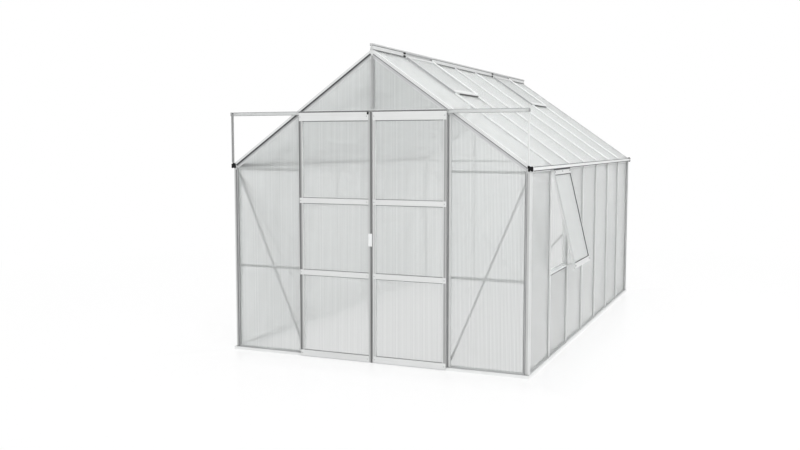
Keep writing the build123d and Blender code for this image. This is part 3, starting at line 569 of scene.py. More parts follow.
CAD_FINISH = {
    sill_finish: ["front_sill", "rear_sill", "left_sill", "right_sill"],
    frame_x: ["door_header"],
    girt_finish: ["gable_girts"],
    frame_y: ["roof_vent_sills"],
    window_sill_finish: ["side_window_sill"],
    frame_z: ["door_posts", "rear_gable_posts"],
    mullion_shaded_finish: ["front_gable_mullion"],
    bar_finish: ["wall_bars"],
    frame_slope: ["gable_rafters"],
    post_finish: ["corner_posts"],
    gutter_finish: ["left_gutter", "right_gutter"],
    ridge_finish: ["ridge_beam"],
    cover_finish: ["ridge_covers"],
    roof_bar_finish: ["roof_bars"],
    vent_bar_finish: ["roof_vent_stiles", "roof_vent_rails"],
    track_finish: ["door_track"],
    stay_shaded_finish: ["door_track_stays"],
    sash_finish: ["side_window_stiles", "side_window_rails", "side_window_stay"],
    brace_finish: ["diagonal_braces"],
    left_stile_shaded_finish: ["left_door_stiles"],
    right_stile_shaded_finish: ["right_door_stiles"],
    rail_finish: ["left_door_rails", "right_door_rails"],
    roller_finish: ["left_door_rollers", "right_door_rollers"],
    handle_finish: ["left_door_handle"],
}
for finish, names in CAD_FINISH.items():
    for name in names:
        nodes[name].data.materials.clear()
        nodes[name].data.materials.append(finish)


# Sheets of the gables, the walls, the roof, the vents, the window and the doors
SHEET_FOOT = 0.0035
SHEET_HEAD = EAVES - 0.001
LOW_SHEET_HEAD = 0.707
SHEET_DROP = 0.0075
SHEET_CORNER = 0.0075
SHEET_REACH = HALF - SHEET_CORNER
BAR_EDGE = 0.004
DOOR_EDGE = 0.65075
OVER_DOOR = HEADER_HEAD + 0.001
OVER_DOOR_EDGE = (RIDGE - RAFTER_DROP / ROOF_COS - 0.0004 - HEADER_HEAD) / ROOF_TAN
LEVEL = (0.0, 0.0)


def sheets(name, panes, finish, replaced, body="house"):
    """One piece for the fluted sheets that stand for one node of the solids."""
    return finish_piece(fluted_sheets(name, panes), body, "sheet", finish, replaced)


def gable_pane(x0, x1, y, foot, normal):
    """A gable's sheet from x0 to x1, level at its foot and as steep as the roof at its head."""
    heads = [slope_height(x) - SHEET_DROP / ROOF_COS - foot for x in (x0, x1)]
    return ((x0, y, foot), RIGHT, UP, normal, x1 - x0, LEVEL, heads)


def wall_pane(x, y0, y1, head, normal):
    """A wall's sheet from y0 to y1, level at its foot and its head."""
    rise = head - SHEET_FOOT
    return ((x, y0, SHEET_FOOT), BACK, UP, normal, y1 - y0, LEVEL, (rise, rise))


def roof_pane(side, x0, x1, y0, y1, v):
    """A roof's sheet from x0 out to x1. Its ends are plumb, so the skin is set off along the plumb line."""
    run = (x1 - x0) / ROOF_COS
    return (roof_point(side, x0, y0, v), BACK, down_slope(side), UP / ROOF_COS, y1 - y0, LEVEL, (run, run))


panes = [
    gable_pane(DOOR_EDGE, SHEET_REACH, 0.0, SHEET_FOOT, -BACK),
    gable_pane(-SHEET_REACH, -DOOR_EDGE, 0.0, SHEET_FOOT, -BACK),
    gable_pane(BAR_EDGE, OVER_DOOR_EDGE, 0.0, OVER_DOOR, -BACK),
    gable_pane(-OVER_DOOR_EDGE, -BAR_EDGE, 0.0, OVER_DOOR, -BACK),
]
sheets("front_sheets", panes, sheet_finish, "front_panes")
spans = free_spans(-SHEET_REACH, REAR_LINES, SHEET_REACH, BAR_EDGE)
panes = [gable_pane(x0, x1, DEPTH, SHEET_FOOT, BACK) for x0, x1 in spans]
sheets("rear_sheets", panes, sheet_finish, "rear_panes")

spans = free_spans(SHEET_CORNER, LINES, DEPTH - SHEET_CORNER, BAR_EDGE)
panes = [wall_pane(-HALF, y0, y1, SHEET_HEAD, -RIGHT) for y0, y1 in spans]
sheets("left_wall_sheets", panes, lit_sheet_finish, "left_wall_panes")
heads = [LOW_SHEET_HEAD if bay == WINDOW_BAY else SHEET_HEAD for bay in range(BAYS)]
panes = [wall_pane(HALF, y0, y1, head, RIGHT) for (y0, y1), head in zip(spans, heads)]
sheets("right_wall_sheets", panes, sheet_finish, "right_wall_panes")

ROOF_MARGIN = 0.0095
ROOF_HEAD = 0.0045
ROOF_EDGE = HALF + 0.018
VENT_SILL = 0.4425
for side, name in zip(SIDES, ("left", "right")):
    panes = []
    for bay, (y0, y1) in enumerate(free_spans(ROOF_MARGIN, LINES, DEPTH - ROOF_MARGIN, BAR_EDGE)):
        head = VENT_SILL if bay in VENT_BAYS else ROOF_HEAD
        panes.append(roof_pane(side, head, ROOF_EDGE, y0, y1, 0.0))
    sheets(name + "_roof_sheets", panes, roof_finish, name + "_roof_panes")

VENT_GAP = 0.0085
VENT_FOOT = 0.0068
VENT_SHEET = VENT_FOOT + 0.004
VENT_SHEET_HEAD = 0.0145
VENT_MARGIN = 0.0095
VENT_SHEET_EDGE = VENT_REACH - VENT_MARGIN
vents = [(side, ENDS[bay] + VENT_GAP, ENDS[bay + 1] - VENT_GAP) for side in SIDES for bay in VENT_BAYS]
panes = [
    roof_pane(side, VENT_SHEET_HEAD, VENT_SHEET_EDGE, y0 + VENT_MARGIN, y1 - VENT_MARGIN, VENT_SHEET)
    for side, y0, y1 in vents
]
sheets("roof_vent_sheets", panes, vent_finish, "roof_vent_panes")

# The side window hangs open at SASH; sizes along it are measured from its hinge.
SASH = math.radians(13.5)
SASH_LONG = 0.818
SASH_FACE = 0.014
SASH_SKIN = 0.004
SASH_GROOVE = 0.0075
SASH_GAP = 0.012
HINGE = np.array([HALF + 0.012, 0.0, EAVES - 0.0003 - SASH_FACE * math.sin(SASH)])
SASH_OUT = np.array([math.cos(SASH), 0.0, math.sin(SASH)])
SASH_UP = np.array([-math.sin(SASH), 0.0, math.cos(SASH)])
SASH_FRONT = LINES[WINDOW_BAY - 1] + SASH_GAP
SASH_REAR = LINES[WINDOW_BAY] - SASH_GAP


def sash_point(y, w, out):
    """A point of the open window: back to y, w up its own slope from the hinge and out square to it."""
    return HINGE + BACK * y + SASH_UP * w + SASH_OUT * out


def sash_ends(y0, y1, w, out):
    """The two ends of a level run on the open window."""
    return sash_point(y0, w, out), sash_point(y1, w, out)


corner = sash_point(SASH_FRONT + SASH_GROOVE, SASH_GROOVE - SASH_LONG, SASH_SKIN)
width = SASH_REAR - SASH_FRONT - 2 * SASH_GROOVE
rise = SASH_LONG - 2 * SASH_GROOVE
panes = [(corner, BACK, SASH_UP, SASH_OUT, width, LEVEL, (rise, rise))]
sheets("side_window_sheet", panes, sash_sheet_finish, "side_window_pane")

PANE_BACK = 0.024
PANE_FACE = PANE_BACK + SHEET
PANE_SPANS = [(0.0435, 0.6985), (0.7115, 1.2895), (1.3025, TRACK_FOOT - 0.0235)]
for name, x0, x1 in (("left_door", -0.6265, -0.0065), ("right_door", 0.031, 0.6265)):
    panes = [
        ((x0, -PANE_BACK, foot), RIGHT, UP, -BACK, x1 - x0, LEVEL, (head - foot, head - foot))
        for foot, head in PANE_SPANS
    ]
    sheets(name + "_sheets", panes, lit_sheet_finish, name + "_panes", name)


# Rubber seals and painted shade lines along the sheets' edges


def strips(name, profile, runs, finish, body="house", slot="black_plastic"):
    """Thin strips: one small profile carried along every run, in one finish, on one body."""
    return finish_piece(carry(name, profile, runs), body, slot, finish)


# A rubber seal at the sheets' foot, grey as the painted shade of the sill's trough.
COVER_EDGE = HALF - POST_COVER
SHEET_FOOT_SEAL_SHADE = rounded(0.0, 0.0022, 0.0, 0.012, 0.0009)
runs = []
for x0, x1 in ((DOOR_JAMB, COVER_EDGE), (-COVER_EDGE, -DOOR_JAMB)):
    runs.append(crosswise(x0, x1, -SHEET, SILL_HEAD, -BACK))
for x0, x1 in free_spans(-COVER_EDGE, REAR_LINES, COVER_EDGE, BAR_HALF):
    runs.append(crosswise(x0, x1, DEPTH + SHEET, SILL_HEAD, BACK))
for side in SIDES:
    for y0, y1 in free_spans(POST_SIDE, LINES, DEPTH - POST_SIDE, BAR_HALF):
        runs.append(lengthwise(y0, y1, side * (HALF + SHEET), SILL_HEAD, side * RIGHT))
strips("foot_seals", SHEET_FOOT_SEAL_SHADE, runs, soft_seal_and_shade)

EDGE_SEAL = rounded(0.0, 0.0045, 0.0, 0.0016, 0.0007)
EDGE_FOOT = 0.032
EDGE_HEAD = EAVES - 0.012
LOW_EDGE_HEAD = 0.689
EDGE_REACH = 0.006
MULLION_FOOT = HEADER_FOOT + 0.047
MULLION_REACH = 0.018
RAFTER_REACH = (RAFTER_DROP + 0.012) / ROOF_COS
runs = []
for side in SIDES:
    for bar, y in enumerate(LINES):
        for way in SIDES:
            bay = bar if way < 0 else bar + 1
            head = LOW_EDGE_HEAD if side > 0 and bay == WINDOW_BAY else EDGE_HEAD
            place = (side * (HALF + SHEET), y + way * BAR_HALF)
            runs.append(upright(EDGE_FOOT, head, *place, way * BACK, side * RIGHT))
for x in REAR_LINES:
    for way in SIDES:
        edge = x + way * BAR_HALF
        head = slope_height(abs(edge) + EDGE_REACH) - RAFTER_REACH
        runs.append(upright(EDGE_FOOT, head, edge, DEPTH + SHEET, way * RIGHT, BACK))
for way in SIDES:
    head = slope_height(MULLION_REACH) - RAFTER_REACH
    runs.append(upright(MULLION_FOOT, head, way * BAR_HALF, -SHEET, way * RIGHT, -BACK))
strips("bar_seals", EDGE_SEAL, runs, grey_seal_and_shade)

ROOF_SEAL = rounded(0.0, 0.0035, 0.0, 0.0014, 0.0006)
RIDGE_SIDE = 0.016
RAFTER_SIDE = 0.026
BELOW_VENT = VENT_REACH + 0.002
runs = []
for side in SIDES:
    for bar, y in enumerate(LINES):
        for way in SIDES:
            bay = bar if way < 0 else bar + 1
            head = BELOW_VENT if bay in VENT_BAYS else RIDGE_SIDE
            ends = slope_ends(side, head, ROOF_EDGE, y + way * BAR_HALF, SHEET)
            runs.append((*ends, way * BACK, off_slope(side)))
    for y, way in ((RAFTER_SIDE, 1), (DEPTH - RAFTER_SIDE, -1)):
        runs.append((*slope_ends(side, RIDGE_SIDE, ROOF_EDGE, y, SHEET), way * BACK, off_slope(side)))
strips("roof_seals", ROOF_SEAL, runs, grey_seal_and_shade)

# Eaves: a seal between the wall sheets and the roof, inside each gutter, and a black strip of painted shade
# on the rear girt, where it shows dark through the sheets.
EAVES_SEAL = rounded(0.0, 0.005, 0.008, 0.030, 0.0015)
EAVES_IN = HALF - 0.006
EAVES_CORNER = 0.030
EAVES_GAP = 0.012
runs = [
    lengthwise(y0, y1, side * EAVES_IN, EAVES, -side * RIGHT)
    for side in SIDES
    for y0, y1 in free_spans(EAVES_CORNER, LINES, DEPTH - EAVES_CORNER, EAVES_GAP)
]
strips("eaves_seals", EAVES_SEAL, runs, black_finish)
GIRT_SHADE = rounded(-0.0028, 0.0, -0.0250, -0.0030, 0.001)
GIRT_END = HALF - 0.033
GIRT_GAP = 0.009
GIRT_FACE = DEPTH - 0.0085
spans = free_spans(-GIRT_END, REAR_LINES, GIRT_END, GIRT_GAP)
runs = [crosswise(x0, x1, GIRT_FACE, EAVES, BACK) for x0, x1 in spans]
strips("rear_girt_painted_shade", GIRT_SHADE, runs, black_finish)

# Corner posts: a dark strip of painted shade along the cover's inner edge, wider on the left post, and
# paler lines of painted shade on the sheet beside it.
LEFT_POST_SHADE = rounded(0.0, 0.013, 0.0, 0.0012, 0.0005)
RIGHT_POST_SHADE = rounded(0.001, 0.0062, 0.0, 0.0012, 0.0005)
POST_SHEET_SHADE = rounded(0.0, 0.005, 0.0, 0.0022, 0.0009)
LIP_FOOT = 0.024
POST_HEAD = EAVES - 0.014
left_post_shades, right_post_shades, runs = [], [], []
for side, shade_runs in zip(SIDES, (left_post_shades, right_post_shades)):
    for y, out in FRAME_FACES:
        shade_runs.append(upright(LIP_FOOT, POST_HEAD, side * COVER_EDGE, y, side * RIGHT, out))
    for y, out in SHEET_FACES:
        runs.append(upright(EDGE_FOOT, POST_HEAD, side * COVER_EDGE, y, -side * RIGHT, out))
strips("left_post_painted_shade", LEFT_POST_SHADE, left_post_shades, slate_seal_and_shade)
strips("right_post_painted_shade", RIGHT_POST_SHADE, right_post_shades, slate_seal_and_shade)
strips("post_sheet_painted_shade", POST_SHEET_SHADE, runs, soft_seal_and_shade)

# Rafters: painted shade, darker on the left than on the right: a dark line along the face, a shaded flange
# below, and two paler lines of shade on the sheet.
LEFT_FACE_SHADE = rounded(-0.013, 0.0, 0.0, 0.0014, 0.0006)
LEFT_FLANGE_SHADE = rounded(-0.0208, -0.013, 0.0, 0.0006, 0.0002)
RIGHT_FACE_SHADE = rounded(-0.007, 0.0, 0.0, 0.0014, 0.0006)
RIGHT_FLANGE_SHADE = rounded(-0.0168, -0.007, 0.0, 0.0006, 0.0002)
SHEET_SHADE_LINE = rounded(-0.007, 0.0, 0.0, 0.0018, 0.0008)
PALE_SHADE_LINE = rounded(-0.015, -0.007, 0.0, 0.0012, 0.0005)
LEFT_BAND = 0.011
RIGHT_BAND = 0.015
APEX = 0.014
RAFTER_FOOT = HALF - 0.006
# The painted shade lines on the sheets leave room for the door posts in front and for the rear posts.
FRONT_SPANS = [(APEX, 0.588), (0.674, COVER_EDGE)]
REAR_SPANS = [(APEX, BAY - 0.02), (BAY + 0.02, COVER_EDGE)]


def rafter_runs(side, faces, drop, spans):
    """Runs along the rafters, drop below the sheets' underside: on each gable face, one to a span of x."""
    return [
        (*slope_ends(side, x0, x1, y, -drop), off_slope(side), out)
        for (y, out), face_spans in zip(faces, spans)
        for x0, x1 in face_spans
    ]


whole = [(APEX, RAFTER_FOOT)]
left_runs = rafter_runs(-1, FRAME_FACES, LEFT_BAND, (whole, whole))
right_runs = rafter_runs(1, FRAME_FACES, RIGHT_BAND, (whole, whole))
strips("left_rafter_painted_shade", LEFT_FACE_SHADE, left_runs, dark_seal_and_shade)
strips("left_rafter_flange_shade", LEFT_FLANGE_SHADE, left_runs, grey_seal_and_shade)
strips("right_rafter_painted_shade", RIGHT_FACE_SHADE, right_runs, slate_seal_and_shade)
strips("right_rafter_flange_shade", RIGHT_FLANGE_SHADE, right_runs, soft_seal_and_shade)
runs = []
for side in SIDES:
    runs += rafter_runs(side, SHEET_FACES, RAFTER_DROP, (FRONT_SPANS, REAR_SPANS))
strips("rafter_sheet_shade", SHEET_SHADE_LINE, runs, soft_seal_and_shade)
strips("rafter_sheet_pale_shade", PALE_SHADE_LINE, runs, pale_painted_shade)

# Ridge: painted shade in the groove under the cap and along the foot of the covers, a paler fill in the
# groove along the vents as painted light over its shade, and the clips in front of the vents.
COVER_HEAD = RIDGE + 0.035
COVER_FOOT = slope_height(0.012) + FACE_OUT / ROOF_COS + 0.0004
COVER_GAP = VENT_GAP - 0.001
GROOVE_SHADE = rounded(0.004, 0.0146, 0.0002, 0.0048, 0.0008)
COVER_FOOT_SHADE = rounded(0.014, 0.0148, 0.0, 0.006, 0.0003)
vent_spans = [(ENDS[bay] + COVER_GAP, ENDS[bay + 1] - COVER_GAP) for bay in VENT_BAYS]
breaks = [ENDS_OUT[0]] + [y for span in vent_spans for y in span] + [ENDS_OUT[1]]
cover_spans = list(zip(breaks[0::2], breaks[1::2]))
for name, profile, z, spans, finish in (
    ("ridge_groove_shade", GROOVE_SHADE, COVER_HEAD, cover_spans, slate_seal_and_shade),
    ("vent_groove_painted_light", GROOVE_SHADE, COVER_HEAD, vent_spans, soft_seal_and_shade),
    ("ridge_foot_shade", COVER_FOOT_SHADE, COVER_FOOT, cover_spans, slate_seal_and_shade),
):
    runs = [lengthwise(y0, y1, 0.0, z, side * RIGHT) for side in SIDES for y0, y1 in spans]
    strips(name, profile, runs, finish)
CLIP = rounded(0.014, 0.019, -0.0072, 0.0072, 0.0016)
CLIP_HALF = 0.018
CLIP_BEFORE = 0.04
CLIP_HEIGHTS = (COVER_HEAD - 0.0045, COVER_HEAD - 0.0275)
runs = []
for side in SIDES:
    for bay in VENT_BAYS:
        y = ENDS[bay] + VENT_GAP - CLIP_BEFORE
        for z in CLIP_HEIGHTS:
            runs.append(lengthwise(y - CLIP_HALF, y + CLIP_HALF, 0.0, z, side * RIGHT))
strips("ridge_clips", CLIP, runs, black_finish)

# Vents: painted shade along the front edge, a painted highlight along the rear edge, and a dark rubber drip
# bar along the lower edge, which also stands for the shade in the gap under that edge.
VENT_HEAD = VENT_FOOT + 0.0139
VENT_EDGE = VENT_REACH - 0.002
FRONT_EDGE_SHADE = [
    (-0.0072, 0.0066), (-0.0040, 0.0164), (0.0, 0.0164),
    (0.0, 0.0176), (-0.0048, 0.0176), (-0.0084, 0.0066),
]
FRONT_LINE_HEAD = 0.019
REAR_EDGE_HIGHLIGHT = rounded(-0.0125, -0.0005, 0.0, 0.008, 0.0012)
DRIP_BAR_AND_SHADE = rounded(0.0, 0.007, 0.0, 0.009, 0.0025)
DRIP_START = 0.105
DRIP_STOP = 0.012
fronts, rears, bars = [], [], []
for side, y0, y1 in vents:
    ends = slope_ends(side, FRONT_LINE_HEAD, VENT_EDGE, y0 - VENT_GAP, 0.0)
    fronts.append((*ends, BACK, off_slope(side)))
    rears.append((*slope_ends(side, RIDGE_SIDE, VENT_EDGE, y1, VENT_HEAD), BACK, off_slope(side)))
    ends = [roof_point(side, VENT_REACH, y, VENT_FOOT) for y in (y0 + DRIP_START, y1 - DRIP_STOP)]
    bars.append((*ends, down_slope(side), off_slope(side)))
strips("vent_front_painted_shade", FRONT_EDGE_SHADE, fronts, grey_seal_and_shade)
strips("vent_rear_edge_highlights", REAR_EDGE_HIGHLIGHT, rears, painted_highlight_edge, slot="frame")
strips("vent_drip_bars_and_shade", DRIP_BAR_AND_SHADE, bars, dark_seal_and_shade)

# Gutters: dark lines of painted shade along the top and the foot of the face, and moulded end fittings.
GUTTER_OUT = HALF + 0.038
GUTTER_TOP_SHADE = rounded(0.0, 0.0012, 0.030, 0.035, 0.0005)
GUTTER_FOOT_SHADE = rounded(0.0, 0.0012, -0.0004, 0.0066, 0.0005)
for name, profile in (("gutter_top_painted_shade", GUTTER_TOP_SHADE), ("gutter_foot_painted_shade", GUTTER_FOOT_SHADE)):
    runs = [lengthwise(*ENDS_OUT, side * GUTTER_OUT, EAVES, side * RIGHT) for side in SIDES]
    strips(name, profile, runs, dark_seal_and_shade)
FITTING_X = HALF + 0.016
FITTING_Z = EAVES + 0.0175
FITTING_THICK = 0.009


def end_fitting(size, steps=32):
    """The outline of a gutter's moulded end: a square with soft corners, radius a - b cos 4t, with a notch
    at its foot, where the radius dips by a bell curve about the downward direction, all times size."""
    t = np.arange(steps) * 2 * np.pi / steps
    radius = 0.0215 - 0.003 * np.cos(4 * t) - 0.009 * np.exp(-(((t - 1.5 * np.pi) / 0.3) ** 2))
    return size * np.stack([radius * np.cos(t), radius * np.sin(t)], axis=1)


for name, size, y, way in (("front", 1.0, ENDS_OUT[0], -1), ("rear", 1.3, ENDS_OUT[1], 1)):
    runs = [lengthwise(y, y + way * FITTING_THICK, side * FITTING_X, FITTING_Z, RIGHT) for side in SIDES]
    fitting = carry(name + "_gutter_end_fittings", end_fitting(size), runs)
    finish_piece(fitting, "house", "black_plastic", black_finish, "gutter_end_caps")
PEG = rounded(-0.0155, -0.0005, -0.0164, -0.0090, 0.002)
PEG_FOOT = EAVES + 0.028
PEG_HEAD = EAVES + 0.0425
PEG_ENDS = (-1.295, 1.281)
runs = [upright(PEG_FOOT, PEG_HEAD, x, 0.0, side * RIGHT, BACK) for side, x in zip(SIDES, PEG_ENDS)]
strips("stay_pegs", PEG, runs, black_finish)

# Door track: lines of painted shade on its lips, and end plugs.
TRACK_ENDS = (-1.299, 1.285)
TRACK_FRONT = 0.032
TRACK_LIP_SHADE = rounded(0.0, 0.0008, 0.0, 0.0034, 0.0003)
TRACK_PLUG = rounded(-0.0316, -0.0124, 0.0024, 0.0276, 0.003)
PLUG_DEEP = 0.012
LIP_HEIGHTS = (TRACK_FOOT + 0.0004, TRACK_FOOT + 0.0262)
runs = [crosswise(*TRACK_ENDS, -TRACK_FRONT, z, -BACK) for z in LIP_HEIGHTS]
strips("track_lip_painted_shade", TRACK_LIP_SHADE, runs, slate_seal_and_shade)
runs = [crosswise(x, x - side * PLUG_DEEP, 0.0, TRACK_FOOT, BACK) for side, x in zip(SIDES, TRACK_ENDS)]
strips("track_end_plugs", TRACK_PLUG, runs, grey_seal_and_shade)

# Door posts: the rubber stops that the doors close against, dark as the painted shade of the gaps beside
# the doors, and wider on the left post.
LEFT_STOP_SHADE = rounded(-0.019, -0.0075, 0.0, 0.002, 0.0008)
RIGHT_STOP_SHADE = rounded(0.0, 0.009, 0.0, 0.002, 0.0008)
STOP_HEAD = HEADER_FOOT - 0.002
STOP_X = 0.6405
for name, profile, x in (("left_door_stop_and_shade", LEFT_STOP_SHADE, -STOP_X), ("right_door_stop_and_shade", RIGHT_STOP_SHADE, STOP_X)):
    strips(name, profile, [upright(LIP_FOOT, STOP_HEAD, x, -FACE_OUT, RIGHT, -BACK)], slate_seal_and_shade)

# Doors: glazing seals along the rails, a line of painted shade along the foot, a brush on the top rail, a
# bumper and screws.
LEAF_FOOT = 0.004
LEAF_HEAD = TRACK_FOOT + 0.019
RAILS = [(LEAF_FOOT, LEAF_FOOT + 0.052), (0.684, 0.726), (1.275, 1.317), (TRACK_FOOT - 0.048, LEAF_HEAD)]
# Each door's body, then where its rails and its glazing seals start and stop.
DOORS = (("left_door", -0.638, -0.017, -0.610, -0.017), ("right_door", 0.0195, 0.638, 0.044, 0.610))
ABOVE = rounded(0.0, 0.006, 0.0, 0.0045, 0.0012)
BELOW = rounded(0.0, 0.006, -0.0055, 0.0, 0.0012)
FOOT_SHADE_LINE = rounded(0.0, 0.0008, 0.0, 0.005, 0.0003)
FOOT_SHADE_GAP = 0.002
BRUSH = rounded(-0.0405, -0.0365, 0.0, 0.0055, 0.001)
for body, x0, x1, seal0, seal1 in DOORS:
    runs = [crosswise(seal0, seal1, -PANE_FACE, head, -BACK) for foot, head in RAILS[:3]]
    strips(body + "_rail_head_seals", ABOVE, runs, slate_seal_and_shade, body)
    runs = [crosswise(seal0, seal1, -PANE_FACE, foot, -BACK) for foot, head in RAILS[1:]]
    strips(body + "_rail_foot_seals", BELOW, runs, slate_seal_and_shade, body)
    runs = [crosswise(x0 + FOOT_SHADE_GAP, x1 - FOOT_SHADE_GAP, -RAIL_FACE, LEAF_FOOT, -BACK)]
    strips(body + "_foot_shade_line", FOOT_SHADE_LINE, runs, soft_seal_and_shade, body)
    strips(body + "_top_brush", BRUSH, [crosswise(x0, x1, 0.0, LEAF_HEAD, BACK)], dark_seal_and_shade, body)
BUMPER = rounded(-0.0268, -0.0130, 1.9860, 2.0060, 0.003)
BUMPER_THICK = 0.0045
runs = [lengthwise(-RAIL_FACE, -RAIL_FACE - BUMPER_THICK, 0.0, 0.0, RIGHT)]
strips("door_bumper", BUMPER, runs, black_finish, "left_door")

SCREW = [(0.0042, 0.0), (0.0042, 0.0010), (0.0034, 0.0018), (0.0014, 0.0022)]
SCREW_LEFT = 0.011
SCREW_RIGHT = 0.014
for body, x0, x1, seal0, seal1 in DOORS:
    seats = [
        ((x, -RAIL_FACE, (foot + head) / 2), -BACK)
        for foot, head in RAILS
        for x in (x0 + SCREW_LEFT, x1 - SCREW_RIGHT)
    ]
    finish_piece(turned(body + "_screws", SCREW, seats), body, "frame", screw_finish)

# Window: seals round its sheet, a hinge line, lines on its stiles and screws on its top and bottom bars.
SASH_SEAL = rounded(0.0, 0.006, 0.0, 0.005, 0.001)
SEAL_OUT = SASH_SKIN + SHEET
SEAL_FRONT = SASH_FRONT + 0.020
SEAL_REAR = SASH_REAR - 0.020
SEAL_LOW = 0.040 - SASH_LONG
SEAL_HIGH = -0.046
runs = []
for y, way in ((SEAL_FRONT, 1), (SEAL_REAR, -1)):
    ends = [sash_point(y, w, SEAL_OUT) for w in (SEAL_LOW, SEAL_HIGH)]
    runs.append((*ends, way * BACK, SASH_OUT))
for w, way in ((SEAL_LOW, 1), (SEAL_HIGH, -1)):
    runs.append((*sash_ends(SEAL_FRONT, SEAL_REAR, w, SEAL_OUT), way * SASH_UP, SASH_OUT))
strips("window_seals", SASH_SEAL, runs, dark_seal_and_shade)
HINGE_LINE = rounded(-0.010, 0.0, 0.0, 0.0012, 0.0005)
runs = [(*sash_ends(SASH_FRONT, SASH_REAR, 0.0, SASH_FACE), SASH_UP, SASH_OUT)]
strips("window_hinge_line", HINGE_LINE, runs, dark_seal_and_shade)
STILE_LINE = rounded(-0.0018, 0.0018, 0.0, 0.0008, 0.0003)
STILE_SPAN = (0.004 - SASH_LONG, -0.010)
STILE_EDGES = (SASH_FRONT + 0.0022, SASH_FRONT + 0.0182, SASH_REAR - 0.0022)
runs = []
for y in STILE_EDGES:
    ends = [sash_point(y, w, SASH_FACE) for w in STILE_SPAN]
    runs.append((*ends, BACK, SASH_OUT))
strips("window_stile_lines", STILE_LINE, runs, grey_seal_and_shade)
DARK_SCREW = [(0.0058, 0.0), (0.0058, 0.0012), (0.0044, 0.0022), (0.0018, 0.0026)]
SCREW_FRONT = SASH_FRONT + 0.035
SCREW_REAR = SASH_REAR - 0.035
TOP_SCREWS = [(y, -0.023) for y in (SCREW_FRONT, (SASH_FRONT + SASH_REAR) / 2, SCREW_REAR)]
LOW_SCREWS = [(y, 0.020 - SASH_LONG) for y in (SCREW_FRONT, SCREW_REAR)]
seats = [(sash_point(y, w, SASH_FACE), SASH_OUT) for y, w in TOP_SCREWS + LOW_SCREWS]
finish_piece(turned("window_screws", DARK_SCREW, seats), "house", "black_plastic", dark_seal_and_shade)

# Two thin lines of the window sill: painted shade under its drip edge, and a dark seal below the lip that
# holds the low sheet.
SILL_DRIP_SHADE = rounded(0.0, 0.0024, -0.0016, 0.0, 0.0005)
SILL_LIP = rounded(0.0, 0.0022, -0.008, 0.0, 0.0006)
DRIP_EDGE = (HALF + 0.0064, 0.708)
LIP_EDGE = (HALF + SHEET, 0.690)
SILL_SPAN = (LINES[WINDOW_BAY - 1] + BAR_HALF, LINES[WINDOW_BAY] - BAR_HALF)
strips("window_sill_drip_shade", SILL_DRIP_SHADE, [lengthwise(*SILL_SPAN, *DRIP_EDGE, RIGHT)], grey_seal_and_shade)
strips("window_sill_seal", SILL_LIP, [lengthwise(*SILL_SPAN, *LIP_EDGE, RIGHT)], dark_seal_and_shade)

# Bolts where the braces meet the bars and posts, seen from inside.
BOLT = [(0.0060, 0.0), (0.0060, 0.0036), (0.0046, 0.0046)]
BRACE_FACE = 0.033
BRACE_HEAD = 1.491
BRACE_FOOT = 0.066
WALL_BOLTS = [
    (0.022, BRACE_HEAD),
    (LINES[1] - 0.010, BRACE_FOOT),
    (DEPTH - 0.022, BRACE_HEAD),
    (LINES[-2] + 0.010, BRACE_FOOT),
]
GABLE_BOLTS = [(0.653, 0.067), (1.253, 1.489)]
seats = []
for side in SIDES:
    seats += [((side * (HALF - BRACE_FACE), y, z), -side * RIGHT) for y, z in WALL_BOLTS]
    seats += [((side * x, BRACE_FACE, z), BACK) for x, z in GABLE_BOLTS]
finish_piece(turned("brace_bolts", BOLT, seats, 6), "house", "frame", screw_finish)


# Floor, light and camera
FLOOR_HALF = 60.0
WHITE = (1.0, 1.0, 1.0, 1.0)
FLOOR_GREY = (0.91, 0.91, 0.91, 1.0)
# Within POLISH_REACH of the sills the floor is polished: less of it is plain white, and more is gloss.
POLISH_REACH = 0.45
POLISH_SHARE = 0.1
GLOSS_AWAY, GLOSS_BY_SILL = 0.15, 0.75
# The plain white share of the floor round the house, and the ring in which it grows to the whole.
WHITE_SHARE = 0.88
WHITE_RING = (3.6, 7.5)
# How bright the floor's glow is through the sheets, outside the house and inside it: painted shade, darkest
# indoors.
THROUGH_SHADE_OUT, THROUGH_SHADE_IN = 0.82, 0.72


def flat_sheet(name, half):
    """A square floor: x and y each run from -half to half at height 0."""
    corners = half * np.array([(-1, -1, 0), (1, -1, 0), (1, 1, 0), (-1, 1, 0)])
    return put_mesh(name, corners, [[(0, 1, 2, 3)]])


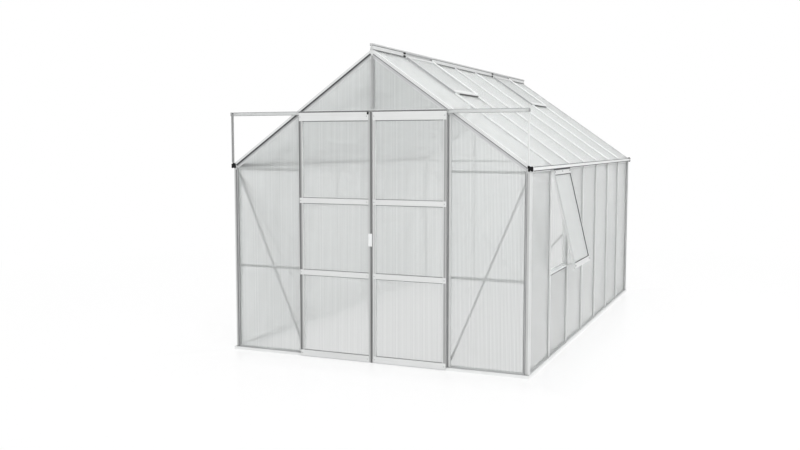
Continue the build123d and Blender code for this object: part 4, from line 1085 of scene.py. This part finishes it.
def pale_floor(name):
    """A floor that is white to the camera but for a share that takes shadow and mirror images, most of it
    by the sills. Away from the house it is plain white, so that no edge shows against the background."""
    material = bpy.data.materials.new(name)
    material.use_nodes = True
    f = Tree(material.node_tree)
    f.tree.nodes.clear()
    bright = f.add("ShaderNodeEmission")
    matt = f.add("ShaderNodeBsdfDiffuse", Color=FLOOR_GREY)
    gloss = f.add("ShaderNodeBsdfGlossy", Color=WHITE, Roughness=0.12)
    spot = f.add("ShaderNodeTexCoord").outputs["Object"]
    plan = f.parts(spot)
    # How far a spot lies outside the sills, and how near that is: 1 at the sills, 0 far off and indoors.
    across = f.math("SUBTRACT", f.math("ABSOLUTE", plan["X"]), HALF + SILL_OUT)
    along = f.math("ABSOLUTE", f.math("SUBTRACT", plan["Y"], DEPTH / 2))
    beside = f.math("MAXIMUM", across, f.math("SUBTRACT", along, DEPTH / 2 + SILL_OUT))
    indoors = f.math("LESS_THAN", beside, 0.0)
    near = f.math("SUBTRACT", f.ramp(beside, 0.0, POLISH_REACH, 1.0, 0.0), indoors)
    near = f.math("MAXIMUM", near, 0.0)
    reach = f.add("ShaderNodeVectorMath")
    reach.operation = "DISTANCE"
    f.feed(reach.inputs[0], spot)
    f.feed(reach.inputs[1], (0.0, DEPTH / 2, 0.0))
    white = f.ramp(reach.outputs["Value"], *WHITE_RING, WHITE_SHARE, 1.0)
    white = f.math("SUBTRACT", white, f.math("MULTIPLY", near, POLISH_SHARE))
    path, shown = f.shown_rays()
    # Through the sheets the glow is dimmed as painted shade, most of all inside the house.
    behind = f.math("MAXIMUM", path["Is Transmission Ray"], path["Transparent Depth"])
    floor_through_shade = f.ramp(indoors, 0.0, 1.0, THROUGH_SHADE_OUT, THROUGH_SHADE_IN)
    f.feed(bright.inputs["Strength"], f.ramp(behind, 0.0, 1.0, 1.0, floor_through_shade))
    polish = f.ramp(near, 0.0, 1.0, GLOSS_AWAY, GLOSS_BY_SILL)
    lit = f.blend(polish, matt.outputs[0], gloss.outputs[0])
    surface = f.blend(f.math("MULTIPLY", shown, white), lit, bright.outputs[0])
    f.feed(f.add("ShaderNodeOutputMaterial").inputs["Surface"], surface)
    return material


floor = flat_sheet("floor", FLOOR_HALF)
floor.data.materials.append(pale_floor("pale_floor"))

world = bpy.data.worlds.new("studio")
bpy.context.scene.world = world
world.use_nodes = True
sky = Tree(world.node_tree)
sky.tree.nodes.clear()
backdrop = sky.add("ShaderNodeBackground", Color=WHITE, Strength=1.0)
fill = sky.add("ShaderNodeBackground", Color=WHITE, Strength=0.75)
surface = sky.blend(sky.shown_rays()[1], fill.outputs[0], backdrop.outputs[0])
sky.feed(sky.add("ShaderNodeOutputWorld").inputs["Surface"], surface)


def soft_light(name, place, target, size, power):
    """A round area light at one place, turned towards a target."""
    lamp = bpy.data.lights.new(name, "AREA")
    lamp.shape = "DISK"
    lamp.size = size
    lamp.energy = power
    holder = bpy.data.objects.new(name, lamp)
    bpy.context.scene.collection.objects.link(holder)
    away = np.subtract(place, target)
    tilt = math.acos(away[2] / np.linalg.norm(away))
    holder.location = place
    holder.rotation_euler = (tilt, 0.0, math.atan2(away[0], -away[1]))


soft_light("key_light", (6.6, -5.4, 8.0), (0.0, 2.0, 1.0), 5.0, 410.0)
soft_light("top_light", (0.0, 2.2, 9.0), (0.0, 2.2, 0.0), 7.0, 290.0)

# The camera as fitted to the photo: its turn and the way it looks down, in degrees.
CAMERA_TURN = 23.0745
CAMERA_DOWN = 5.106
view = bpy.data.cameras.new("camera")
view.sensor_fit = "HORIZONTAL"
view.sensor_width = 36.0
view.lens = 40.86
camera = bpy.data.objects.new("camera", view)
camera.location = (3.027, -6.548, 1.756)
camera.rotation_euler = (math.radians(90.0 - CAMERA_DOWN), 0.0, math.radians(CAMERA_TURN))
bpy.context.scene.collection.objects.link(camera)
bpy.context.scene.camera = camera
bpy.context.scene.view_settings.view_transform = "Standard"
